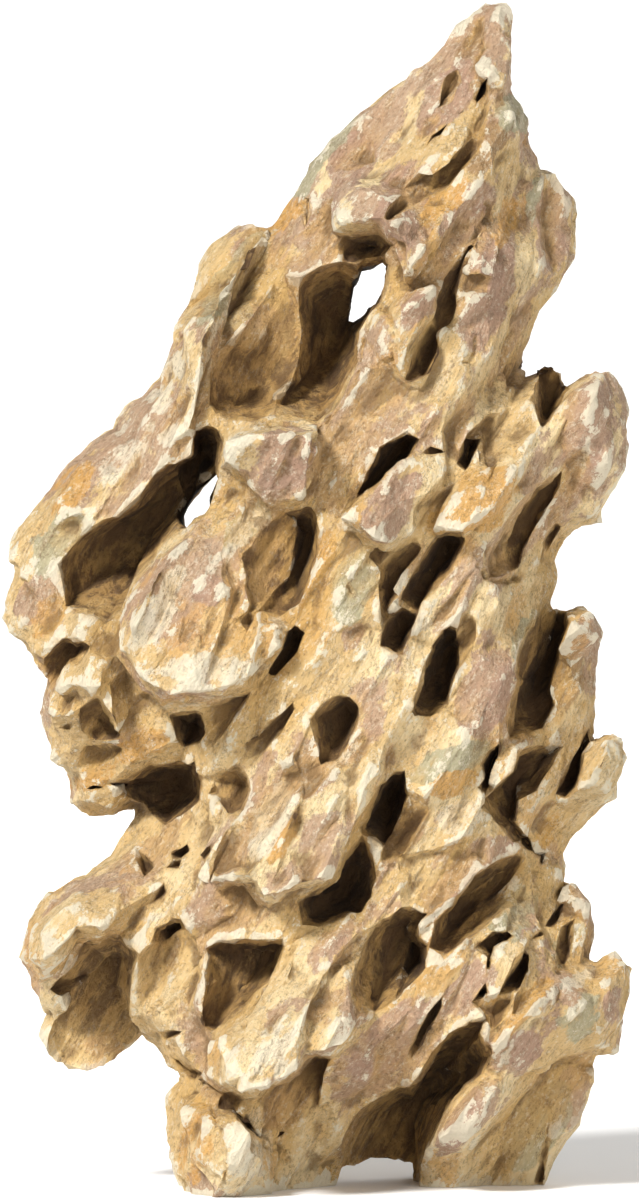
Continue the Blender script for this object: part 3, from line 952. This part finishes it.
def add_opening(shape, corners):
    """Adds a cutter that runs right through the stone."""
    near = [shape.verts.new(Vector((x * MM, -FAR, z * MM))) for x, z in corners]
    far = [shape.verts.new(Vector((x * MM, FAR, z * MM))) for x, z in corners]
    join_rings(shape, [near, far])


def cut_hollows(blank):
    """Cuts every hollow and opening at one time."""
    random = np.random.default_rng(SEED)
    front = Surface(blank, -1)
    back = Surface(blank, 1)
    shape = bmesh.new()
    for corners, deepest, depth in HOLLOWS:
        add_hollow(shape, front, corners, deepest, depth, random)
    for x0, z0, x1, z1, width, depth in BACK_HOLLOWS:
        corners, deepest = teardrop(x0, z0, x1, z1, width, random)
        add_hollow(shape, back, corners, deepest, depth, random)
    for corners in OPENINGS:
        add_opening(shape, corners)
    bmesh.ops.triangulate(shape, faces=shape.faces)
    bmesh.ops.recalc_face_normals(shape, faces=shape.faces)
    mesh = bpy.data.meshes.new("hollows")
    shape.to_mesh(mesh)
    shape.free()
    cutter = bpy.data.objects.new("hollows", mesh)
    bpy.context.scene.collection.objects.link(cutter)
    remesh(cutter, CUTTER_VOXEL)
    cut(blank, cutter)


def keep_largest_piece(obj):
    """Drops everything but the piece with the most points."""
    activate(obj)
    mesh = obj.data
    ends = np.empty(len(mesh.edges) * 2, int)
    mesh.edges.foreach_get("vertices", ends)
    ends = ends.reshape(-1, 2)
    label = np.arange(len(mesh.vertices))
    while True:
        lower = label.copy()
        np.minimum.at(lower, ends[:, 0], label[ends[:, 1]])
        np.minimum.at(lower, ends[:, 1], label[ends[:, 0]])
        lower = lower[lower]
        if (lower == label).all():
            break
        label = lower
    stray = label != np.bincount(label).argmax()
    if not stray.any():
        return
    mesh.vertices.foreach_set("select", stray)
    mesh.edges.foreach_set("select", stray[ends].all(axis=1))
    mesh.polygons.foreach_set("select", np.zeros(len(mesh.polygons), bool))
    bpy.ops.object.mode_set(mode="EDIT")
    bpy.ops.mesh.delete(type="VERT")
    bpy.ops.object.mode_set(mode="OBJECT")


# --- Fine relief ---------------------------------------------------------------------------------

_TABLE = np.random.default_rng(SEED)
_SLOPES = _TABLE.normal(size=(256, 3))
_SLOPES /= np.linalg.norm(_SLOPES, axis=1)[:, None]
_SHUFFLE = _TABLE.permutation(256)
_PLACES = _TABLE.uniform(-1, 1, (256, 3))
_LEVELS = _TABLE.uniform(-1, 1, 256)


def ripple(points):
    """Smooth random ups and downs, about -1 to 1, one swing to each unit of the points."""
    base = np.floor(points).astype(np.int64)
    part = points - base
    ease = part**3 * (part * (part * 6 - 15) + 10)
    total = np.zeros(len(points))
    for corner in np.ndindex(2, 2, 2):
        cell = base + corner
        pick = _SHUFFLE[cell[:, 0] & 255]
        pick = _SHUFFLE[(pick + cell[:, 1]) & 255]
        pick = _SHUFFLE[(pick + cell[:, 2]) & 255]
        weight = np.where(corner, ease, 1 - ease).prod(axis=1)
        total += weight * (_SLOPES[pick] * (part - corner)).sum(axis=1)
    return total * 1.6


def grain_frame(places):
    """Each place as its distance along the grain, its depth and its distance across the grain."""
    x, y, z = (places / MM).T
    along = x * math.cos(GRAIN) + z * math.sin(GRAIN)
    across = x * math.sin(GRAIN) - z * math.cos(GRAIN)
    return np.stack([along, y, across], axis=1)


def scallops(points, tilt, lift, salt):
    """Facets and shallow bowls, one to each unit of the points, that meet in sharp crests: how high each
    point is, and the tone of the facet that it is on."""
    base = np.floor(points).astype(np.int64)
    lowest = np.full(len(points), np.inf)
    tone = np.zeros(len(points))
    for near in np.ndindex(3, 3, 3):
        cell = base + np.array(near) - 1
        pick = _SHUFFLE[(cell[:, 0] + salt) & 255]
        pick = _SHUFFLE[(pick + cell[:, 1]) & 255]
        pick = _SHUFFLE[(pick + cell[:, 2]) & 255]
        off = points - cell - 0.5 - 0.45 * _PLACES[pick]
        face = (off * off).sum(axis=1) + tilt * (off * _SLOPES[pick]).sum(axis=1) + lift * _LEVELS[pick]
        tone = np.where(face < lowest, _LEVELS[255 - pick], tone)
        lowest = np.minimum(lowest, face)
    return lowest, tone


def bent(grain):
    """The grain's frame, bent so that chips don't line up."""
    return grain + 2.2 * np.stack([ripple(grain * 0.09 + start) for start in (60.0, 70.0, 80.0)], axis=1)


def big_chips(grain):
    return scallops(bent(grain) / BIG_CHIPS, 0.5, 0.5, 0)


def small_chips(grain):
    return scallops(bent(grain) / SMALL_CHIPS, 0.6, 0.5, 90)


def plate_edges(grain, width, start):
    """Plates this wide that overlap along the grain, each ending in a sharp step on its lower side."""
    bend = ripple(grain * PLATE_BEND + start)
    spread_out = ripple(grain * PLATE_SPREAD + start + 40.0)
    phase = grain[:, 2] / width + 1.3 * bend + 0.5 * spread_out + 0.02 * grain[:, 1]
    share = phase - np.floor(phase)
    ramp = np.where(share < 1 - PLATE_DROP, share / (1 - PLATE_DROP), (1 - share) / PLATE_DROP)
    present = np.clip(0.4 + 1.6 * ripple(grain * PLATE_PRESENCE + start + 8.0), 0, 1)
    return (ramp - 0.5) * present


def fine_relief(places):
    """How far each point stands out, in millimetres: chips, plates and ribs along the grain, and grit."""
    grain = grain_frame(places)
    chips = big_chips(grain)[0]
    flakes = small_chips(grain)[0]
    amount = np.clip(0.65 + 0.9 * ripple(grain * (0.02, 0.04, 0.05) + 33.0), 0.15, 1.25)
    ribs = 1 - 2 * np.abs(ripple(grain * (0.03, 0.14, 0.34) + 5.0))
    lines = 1 - 2 * np.abs(ripple(grain * (0.06, 0.34, 0.80) + 25.0))
    lumps = ripple(grain * (0.10, 0.16, 0.20) + 9.0)
    grit = ripple(grain * (0.5, 0.6, 0.6) + 17.0)
    plates = plate_edges(grain, PLATE_WIDTH, PLATE_START)
    return (BIG_CHIP_RELIEF * chips + SMALL_CHIP_RELIEF * amount * flakes + PLATE_STEP * plates
            + RIB_RELIEF * ribs + LINE_RELIEF * lines + LUMP_RELIEF * lumps + GRIT_RELIEF * grit)


def crack_relief(places, normals):
    """How deep the cracks run at each point of the front, in millimetres."""
    x, y, z = (places / MM).T
    wander = ripple(np.stack([x, y, z], axis=1) * 0.25)
    depth = np.zeros(len(x))
    for points in CRACKS:
        points = np.array(points, float)
        for start, end in zip(points, points[1:]):
            gap = side_distance(x, z, start, end) + 0.35 * wander
            depth = np.maximum(depth, np.clip(1 - np.abs(gap) / CRACK_WIDTH, 0, 1))
    return depth * CRACK_DEPTH * (normals[:, 1] < -0.2)


def work_surface(stone):
    """Breaks the stone's faces into facets, and then works plates, ribs, cracks and grit into them."""
    thin_out(stone, FACETS)
    split_long_edges(stone)
    mesh = stone.data
    places = coordinates(mesh)
    normals = directions(mesh)
    relief = fine_relief(places)
    relief -= relief.mean() + crack_relief(places, normals)
    move_vertices(mesh, places + normals * relief[:, None] * MM)


def split_long_edges(obj):
    """Splits every edge that is too long to carry fine relief, and keeps the facets as they are."""
    activate(obj)
    mesh = obj.data
    bpy.ops.object.mode_set(mode="EDIT")
    bpy.ops.mesh.select_mode(type="EDGE")
    bpy.ops.object.mode_set(mode="OBJECT")
    for _ in range(MOST_SPLITS):
        places = coordinates(mesh)
        ends = edge_ends(mesh)
        length = np.linalg.norm(places[ends[:, 0]] - places[ends[:, 1]], axis=1)
        long = length > LONGEST_EDGE * MM
        if not long.any():
            break
        mesh.vertices.foreach_set("select", np.zeros(len(mesh.vertices), bool))
        mesh.polygons.foreach_set("select", np.zeros(len(mesh.polygons), bool))
        mesh.edges.foreach_set("select", long)
        bpy.ops.object.mode_set(mode="EDIT")
        bpy.ops.mesh.subdivide(number_cuts=1)
        bpy.ops.mesh.select_all(action="SELECT")
        bpy.ops.mesh.quads_convert_to_tris(quad_method="SHORTEST_DIAGONAL")
        bpy.ops.object.mode_set(mode="OBJECT")


def lean_back(mesh):
    """Settles the stone so that its nearer foot and its farther feet reach the same floor."""
    places = coordinates(mesh)
    places[:, 2] -= LEAN * (places[:, 1] - FRONT_PLANE * MM)
    move_vertices(mesh, places)


def saw_feet(obj):
    """Saws the feet off level with the floor."""
    activate(obj)
    bpy.ops.object.mode_set(mode="EDIT")
    bpy.ops.mesh.select_all(action="SELECT")
    bpy.ops.mesh.bisect(plane_co=(0, 0, 0), plane_no=(0, 0, -1), use_fill=True, clear_outer=True)
    bpy.ops.mesh.select_all(action="SELECT")
    bpy.ops.mesh.quads_convert_to_tris()
    bpy.ops.object.mode_set(mode="OBJECT")


def thin_out(obj, most):
    """Joins triangles until no more than this many are left."""
    faces = sum(len(polygon.vertices) - 2 for polygon in obj.data.polygons)
    apply_modifier(obj, "DECIMATE", ratio=min(1.0, most / faces), use_collapse_triangulate=True)


def fit_to_solid(mesh):
    """Brings the stone to the same box as the solid that it stands for."""
    places = coordinates(mesh)
    low, high = places.min(axis=0), places.max(axis=0)
    scale = (SOLID_HIGH - SOLID_LOW) / (high - low)
    move_vertices(mesh, (places - low) * scale + SOLID_LOW)


# --- What the finish follows ---------------------------------------------------------------------


def shelter(obj):
    """How shut in each point is, from 0 in the open to 1 deep in a hollow."""
    mesh = obj.data
    tree = BVHTree.FromObject(obj, bpy.context.evaluated_depsgraph_get())
    places = coordinates(mesh)
    normals = directions(mesh)
    rays = ray_fan()
    shut = np.zeros(len(places))
    for i, (place, normal) in enumerate(zip(places, normals)):
        normal = Vector(normal)
        start = Vector(place) + normal * (SHELTER_LIFT * MM)
        hits = 0.0
        for ray in rays:
            aim = ray if ray.dot(normal) > 0 else -ray
            reach = tree.ray_cast(start, aim, SHELTER_REACH * MM)[3]
            if reach is not None:
                hits += 1.0
        shut[i] = hits / len(rays)
    return shut


def ray_fan():
    """Directions spread evenly over a ball."""
    turns = []
    for i in range(SHELTER_RAYS):
        height = 1 - (2 * i + 1) / SHELTER_RAYS
        turn = i * math.pi * (3 - math.sqrt(5))
        ring = math.sqrt(1 - height * height)
        turns.append(Vector((ring * math.cos(turn), ring * math.sin(turn), height)))
    return turns


def edge_ends(mesh):
    """The two points that each edge joins."""
    ends = np.empty(len(mesh.edges) * 2, int)
    mesh.edges.foreach_get("vertices", ends)
    return ends.reshape(-1, 2)


def neighbour_mean(values, ends):
    """Each point's value averaged over the points next to it."""
    total = np.zeros_like(values)
    count = np.zeros(len(values))
    for one, other in (ends.T, ends.T[::-1]):
        np.add.at(total, one, values[other])
        np.add.at(count, one, 1)
    count = np.maximum(count, 1)
    return total / (count[:, None] if values.ndim == 2 else count)


def sharpness(mesh):
    """How far each point stands out from those around it: above 0 on crests, below it in creases."""
    ends = edge_ends(mesh)
    places = coordinates(mesh)
    normals = directions(mesh)
    around = places
    for _ in range(CREST_REACH):
        around = neighbour_mean(around, ends)
    out = ((places - around) * normals).sum(axis=1) / MM
    return neighbour_mean(out, ends)


def upright(places):
    """The tables' millimetres for each point, as before the stone leaned back."""
    x, y, z = (places / MM).T
    return np.stack([x, y, z + LEAN * (y - FRONT_PLANE)], axis=1)


def hollow_mask(places, normals):
    """How deep the hollow is that each point of the front lies in, from 0 outside to 1 in a cave."""
    points = upright(places)
    x = points[:, 0] + 0.8 * ripple(points * 0.3)
    z = points[:, 2] + 0.8 * ripple(points * 0.3 + 50)
    mask = np.zeros(len(x))
    front = (points[:, 1] < HOLLOWS_REACH) & (normals[:, 1] < 0.6)
    for corners, _, depth in HOLLOWS:
        low, high = np.min(corners, axis=0), np.max(corners, axis=0)
        near = np.flatnonzero(front & (x > low[0]) & (x < high[0]) & (z > low[1]) & (z < high[1]))
        near = near[within(x[near], z[near], corners)]
        mask[near] = np.maximum(mask[near], min(1.0, depth / CAVE_DEPTH))
    return mask


def patch_masks(places, normals):
    """For each colour, how strongly each point of the front carries it."""
    points = upright(places)
    x = points[:, 0] + 2.0 * ripple(points * 0.12) + 1.0 * ripple(points * 0.4)
    z = points[:, 2] + 2.0 * ripple(points * 0.12 + 50) + 1.0 * ripple(points * 0.4 + 50)
    front = np.clip(0.9 - 1.5 * normals[:, 1], 0, 1)
    masks = {name: np.zeros(len(x)) for name, *_ in PATCH_LOOKS}
    for name, px, pz, long, wide, turn, strength in PATCHES:
        angle = math.radians(turn)
        along = ((x - px) * math.cos(angle) + (z - pz) * math.sin(angle)) / long
        across = ((x - px) * math.sin(angle) - (z - pz) * math.cos(angle)) / wide
        reach = np.hypot(along, across)
        mask = np.clip((1.25 - reach) / 0.5, 0, 1) * strength
        masks[name] = np.maximum(masks[name], mask * front)
    for points in CRESTS:
        points = np.array(points, float)
        for start, end in zip(points, points[1:]):
            mask = np.clip(1.3 - side_distance(x, z, start, end) / LINE_REACH, 0, 1)
            masks["pale"] = np.maximum(masks["pale"], 0.75 * mask * front)
    return masks


def store(mesh, name, values):
    """Keeps a number for each point on the mesh, for the finish to follow."""
    attribute = mesh.attributes.new(name, "FLOAT", "POINT")
    attribute.data.foreach_set("value", np.ascontiguousarray(values, np.float32))


# --- Shader maths --------------------------------------------------------------------------------


class Value:
    """A shader's number, which Python's operators work on."""

    def __init__(self, nodes, socket):
        self.nodes = nodes
        self.socket = socket

    def _math(self, operation, *others):
        return self.nodes.math(operation, self, *others)

    def __add__(self, other):
        return self._math("ADD", other)

    def __sub__(self, other):
        return self._math("SUBTRACT", other)

    def __mul__(self, other):
        return self._math("MULTIPLY", other)

    def __rsub__(self, other):
        return self.nodes.math("SUBTRACT", other, self)

    __radd__ = __add__
    __rmul__ = __mul__

    def size(self):
        return self._math("ABSOLUTE")

    def step(self, low, high):
        """0 below low, 1 above high, and a smooth rise between."""
        return self.nodes.add(
            "ShaderNodeMapRange", {"interpolation_type": "SMOOTHSTEP"},
            {"Value": self, "From Min": low, "From Max": high},
        )["Result"]


class Nodes:
    """A material's node tree, with one method that adds any node."""

    def __init__(self, material):
        material.use_nodes = True
        self.tree = material.node_tree
        self.tree.nodes.clear()

    def add(self, kind, settings=None, inputs=None):
        node = self.tree.nodes.new(kind)
        for name, value in (settings or {}).items():
            setattr(node, name, value)
        for name, value in (inputs or {}).items():
            self.feed(node.inputs[name], value)
        return Outputs(self, node)

    def feed(self, socket, value):
        if isinstance(value, Value):
            self.tree.links.new(value.socket, socket)
        else:
            socket.default_value = value

    def math(self, operation, *values):
        inputs = dict(enumerate(values))
        return self.add("ShaderNodeMath", {"operation": operation}, inputs)["Value"]

    def mix(self, share, first, second, blend="MIX"):
        """One colour over another."""
        node = self.tree.nodes.new("ShaderNodeMix")
        node.data_type = "RGBA"
        node.blend_type = blend
        self.feed(node.inputs[0], share)
        self.feed(node.inputs[6], first)
        self.feed(node.inputs[7], second)
        return Value(self, node.outputs[2])

    def carried(self, name):
        """A number that the mesh carries at each point."""
        return self.add("ShaderNodeAttribute", {"attribute_name": name})["Fac"]


class Outputs:
    """A node's outputs, by name."""

    def __init__(self, nodes, node):
        self.nodes = nodes
        self.node = node

    def __getitem__(self, name):
        return Value(self.nodes, self.node.outputs[name])


def grain_noise(nodes, place, scale, squeeze, detail, roughness, shift):
    """Noise about 0, drawn out along the grain."""
    turned = nodes.add("ShaderNodeMapping", None, {
        "Vector": place, "Location": (shift, shift, shift), "Rotation": Euler((0, GRAIN - math.pi / 2, 0)),
    })["Vector"]
    stretched = nodes.add("ShaderNodeVectorMath", {"operation": "MULTIPLY"}, {
        0: turned, 1: (scale, scale, scale * squeeze),
    })["Vector"]
    return nodes.add("ShaderNodeTexNoise", None, {
        "Vector": stretched, "Scale": 1.0, "Detail": detail, "Roughness": roughness,
    })["Fac"] - 0.5


def stone_finish(settings):
    """Weathered stone: clean faces, stains and patches, worn crests and dark hollows."""
    material = bpy.data.materials.new("weathered_stone")
    nodes = Nodes(material)
    place = nodes.add("ShaderNodeTexCoord")["Object"]
    height = nodes.add("ShaderNodeSeparateXYZ", None, {"Vector": place})["Z"]
    broad, stain, iron, edge, mottle, streak, speckle, vein, wrinkle = (
        grain_noise(nodes, place, *noise_look) for noise_look in NOISES.values()
    )
    veins = 1 - vein.size().step(0.0, 0.014)
    wrinkles = 1 - wrinkle.size().step(0.0, 0.018)
    shut = nodes.carried("shut")
    crest = nodes.carried("crest")
    hollow = nodes.carried("hollow")
    facet = nodes.carried("chip") * 0.5 + nodes.carried("flake") * 0.5

    colour = nodes.mix((broad + facet * 0.03 + mottle * 0.2).step(-0.06, 0.05), settings.tan, settings.cream)
    upper = height.step(0.17, 0.26)
    stained = (stain + upper * 0.05 + facet * 0.025 + mottle * 0.12).step(0.015, 0.045)
    colour = nodes.mix(stained * 0.8, colour, settings.mauve)
    rusty = (iron + facet * 0.02 + shut * 0.05 - upper * 0.02).step(0.075, 0.13)
    colour = nodes.mix(rusty * 0.55, colour, settings.rust)
    for name, share, ragged, kept_out in PATCH_LOOKS:
        mask = (nodes.carried(name) + edge * 1.6 + mottle * ragged + facet * 0.06).step(0.42, 0.60)
        colour = nodes.mix(mask * share * (1 - hollow * kept_out), colour, getattr(settings, name))
    sunk = (shut + edge * 0.4 + hollow * 0.1).step(0.12, 0.42)
    colour = nodes.mix(sunk * (0.6 + mottle), colour, settings.ochre)
    colour = nodes.mix((streak + mottle * 0.5).step(0.04, 0.16) * 0.35, colour, settings.brown)
    colour = nodes.mix((mottle + speckle * 0.5).step(0.05, 0.18) * 0.3, colour, settings.brown)
    colour = nodes.mix((speckle + streak * 0.4).step(0.06, 0.16) * 0.45, colour, settings.umber)
    colour = nodes.mix((0 - speckle + mottle * 0.5).step(0.05, 0.16) * 0.4, colour, settings.pale)
    colour = nodes.mix(wrinkles * (0.35 + edge * 1.5), colour, settings.umber)
    colour = nodes.mix(veins * (0.3 + edge * 2.0) * (1 - hollow), colour, settings.pale)

    inside = (hollow * 0.25 + shut * 1.15 + edge * 0.5).step(0.50, 1.0)
    walls = nodes.mix((streak * 1.4 + mottle + edge).step(-0.10, 0.14), settings.wall, settings.umber)
    colour = nodes.mix(inside * 0.85, colour, walls)
    deep = (shut + hollow * 0.08 + mottle * 0.15).step(0.72, 1.0)
    colour = nodes.mix(deep * 0.9, colour, settings.soot)
    crease = (0 - crest + mottle * 0.3).step(0.08, 0.30)
    colour = nodes.mix(crease * 0.6, colour, settings.umber)
    worn = (crest + mottle + speckle * 0.5 - shut * 0.1).step(0.25, 0.31)
    colour = nodes.mix(worn * 0.85 * (1 - hollow * 0.6), colour, settings.pale)

    bumps = edge * 1.6 + mottle * 2.0 + streak * 1.3 + speckle * 0.6 - veins * 0.05 - wrinkles * 0.12
    bump = nodes.add("ShaderNodeBump", None, {
        "Strength": 1.0, "Distance": 0.0016, "Height": bumps,
    })["Normal"]
    shader = nodes.add("ShaderNodeBsdfPrincipled", None, {
        "Base Color": colour,
        "Roughness": 0.78 + mottle * 0.35,
        "Specular IOR Level": 0.35,
        "Normal": bump,
    })["BSDF"]
    nodes.add("ShaderNodeOutputMaterial", None, {"Surface": shader})
    return material


def plain_finish(name, colour, roughness):
    material = bpy.data.materials.new(name)
    nodes = Nodes(material)
    shader = nodes.add("ShaderNodeBsdfPrincipled", None, {
        "Base Color": colour, "Roughness": roughness,
    })["BSDF"]
    nodes.add("ShaderNodeOutputMaterial", None, {"Surface": shader})
    return material


# --- Settings, operators and panel ---------------------------------------------------------------


def colour_property(name, description, default):
    return bpy.props.FloatVectorProperty(
        name=name, description=description, default=default, size=4, min=0.0, max=1.0,
        subtype="COLOR",
    )


class StoneSettings(bpy.types.PropertyGroup):
    cream: colour_property("Cream", "Clean faces", tint(240, 213, 162))
    tan: colour_property("Tan", "Duller faces", tint(220, 185, 128))
    brown: colour_property("Brown", "Stained faces", tint(168, 132, 92))
    mauve: colour_property("Mauve", "Purplish weathered facets", tint(182, 146, 122))
    sage: colour_property("Sage", "Grey-green bands", tint(176, 170, 138))
    rust: colour_property("Rust", "Iron stains", tint(216, 162, 88))
    ochre: colour_property("Ochre", "Yellow-brown sunken faces", tint(214, 170, 98))
    pale: colour_property("Pale", "Worn crests and blotches", tint(240, 228, 200))
    wall: colour_property("Wall", "The hollows' walls", tint(180, 140, 82))
    umber: colour_property("Umber", "Creases and streaks in the hollows", tint(110, 82, 52))
    soot: colour_property("Soot", "The bottom of the hollows", tint(56, 40, 28))


class StageSettings(bpy.types.PropertyGroup):
    lens: bpy.props.FloatProperty(
        name="Lens", description="Focal length", default=500.0, min=20.0, unit="CAMERA",
    )
    frame_height: bpy.props.FloatProperty(
        name="Frame height", description="Height that the picture takes in at the stone",
        default=0.3006, min=0.1, subtype="DISTANCE", unit="LENGTH",
    )
    elevation: bpy.props.FloatProperty(
        name="Elevation", description="How far the camera looks down", default=math.atan(LEAN),
        subtype="ANGLE", unit="ROTATION",
    )
    floor: colour_property("Floor", "The floor", tint(250, 249, 247))


class STONE_OT_dragon_stone(bpy.types.Operator):
    """Make the scooped and pierced stone, with its finish"""

    bl_idname = "stone.dragon_stone"
    bl_label = "Dragon stone"

    def execute(self, context):
        stone = rough_stone()
        work_surface(stone)
        lean_back(stone.data)
        thin_out(stone, MOST_TRIANGLES)
        saw_feet(stone)
        mark_stone(stone)
        fit_to_solid(stone.data)
        finish_stone(stone, context.scene.stone_settings)
        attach(stone, "root")
        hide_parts("dragon_stone")
        return {"FINISHED"}


def rough_stone():
    """The blank with its hollows cut, before the fine relief."""
    noise.seed_set(NOISE_SEED)
    stone = make_blank()
    cut_hollows(stone)
    keep_largest_piece(stone)
    return stone


def mark_stone(stone):
    """Stores on the mesh what the finish follows."""
    mesh = stone.data
    store(mesh, "shut", shelter(stone))
    store(mesh, "crest", sharpness(mesh))
    places = coordinates(mesh)
    normals = directions(mesh)
    grain = grain_frame(upright(places) * MM)
    store(mesh, "chip", big_chips(grain)[1])
    store(mesh, "flake", small_chips(grain)[1])
    store(mesh, "hollow", hollow_mask(places, normals))
    for name, mask in patch_masks(places, normals).items():
        store(mesh, name, mask)


def finish_stone(stone, settings):
    mesh = stone.data
    mesh.materials.clear()
    mesh.materials.append(stone_finish(settings))
    activate(stone)
    bpy.ops.object.shade_smooth_by_angle(angle=CREASE)


class STONE_OT_stage(bpy.types.Operator):
    """Set up the floor, the soft lights and the camera"""

    bl_idname = "stone.stage"
    bl_label = "Stage"

    def execute(self, context):
        settings = context.scene.stage_settings
        make_floor(settings)
        add_light("key", "SUN", (-0.88, -0.98, 1.30), energy=5.55, angle=math.radians(13))
        add_light("fill", "AREA", (0.8, -1.7, 0.5), energy=17.0, size=1.2)
        add_light("back", "AREA", (0.6, 1.2, 1.0), energy=12.0, size=1.2)
        make_world(context.scene)
        make_camera(context.scene, settings)
        return {"FINISHED"}


def make_floor(settings):
    """A plain floor, large enough to run out of sight."""
    bpy.ops.object.select_all(action="DESELECT")
    bpy.ops.mesh.primitive_plane_add(size=FLOOR_SIDE)
    floor = bpy.context.object
    floor.name = floor.data.name = "floor"
    floor.data.materials.append(plain_finish("pale_floor", settings.floor, 0.9))


def add_light(name, kind, place, **settings):
    """A light that faces the middle of the stone."""
    light = bpy.data.lights.new(name, kind)
    for setting, value in settings.items():
        setattr(light, setting, value)
    obj = bpy.data.objects.new(name, light)
    obj.location = place
    way = Vector(VIEW_CENTRE) - Vector(place)
    obj.rotation_euler = way.to_track_quat("-Z", "Y").to_euler()
    bpy.context.scene.collection.objects.link(obj)


def make_world(scene):
    """Soft light from all round, which looks white past the floor's edge."""
    scene.world = bpy.data.worlds.new("studio")
    nodes = Nodes(scene.world)
    seen = nodes.add("ShaderNodeLightPath")["Is Camera Ray"]
    light = nodes.add("ShaderNodeBackground", None, {
        "Color": (1.0, 0.99, 0.97, 1.0), "Strength": seen * 0.9 + 0.26,
    })["Background"]
    nodes.add("ShaderNodeOutputWorld", None, {"Surface": light})
    scene.view_settings.view_transform = "Standard"


def make_camera(scene, settings):
    """A camera that looks down a little on the stone's front."""
    camera = bpy.data.cameras.new("camera")
    camera.sensor_fit = "VERTICAL"
    camera.sensor_height = 36.0
    camera.lens = settings.lens
    obj = bpy.data.objects.new("camera", camera)
    distance = settings.frame_height * settings.lens / camera.sensor_height
    aim = Vector((0, math.cos(settings.elevation), -math.sin(settings.elevation)))
    obj.location = Vector(VIEW_CENTRE) - aim * distance
    obj.rotation_euler = aim.to_track_quat("-Z", "Y").to_euler()
    scene.collection.objects.link(obj)
    scene.camera = obj


class STONE_PT_panel(bpy.types.Panel):
    bl_label = "Dragon stone"
    bl_space_type = "VIEW_3D"
    bl_region_type = "UI"
    bl_category = "Dragon stone"

    def draw(self, context):
        for settings, operator in (
            (context.scene.stone_settings, STONE_OT_dragon_stone),
            (context.scene.stage_settings, STONE_OT_stage),
        ):
            box = self.layout.box()
            for name in settings.__annotations__:
                box.prop(settings, name)
            box.operator(operator.bl_idname)


CLASSES = (StoneSettings, StageSettings, STONE_OT_dragon_stone, STONE_OT_stage, STONE_PT_panel)


def register():
    for cls in CLASSES:
        bpy.utils.register_class(cls)
    bpy.types.Scene.stone_settings = bpy.props.PointerProperty(type=StoneSettings)
    bpy.types.Scene.stage_settings = bpy.props.PointerProperty(type=StageSettings)


def unregister():
    del bpy.types.Scene.stage_settings
    del bpy.types.Scene.stone_settings
    for cls in reversed(CLASSES):
        bpy.utils.unregister_class(cls)


def main():
    register()
    bpy.ops.stone.dragon_stone()
    bpy.ops.stone.stage()


if __name__ == "__main__":
    main()
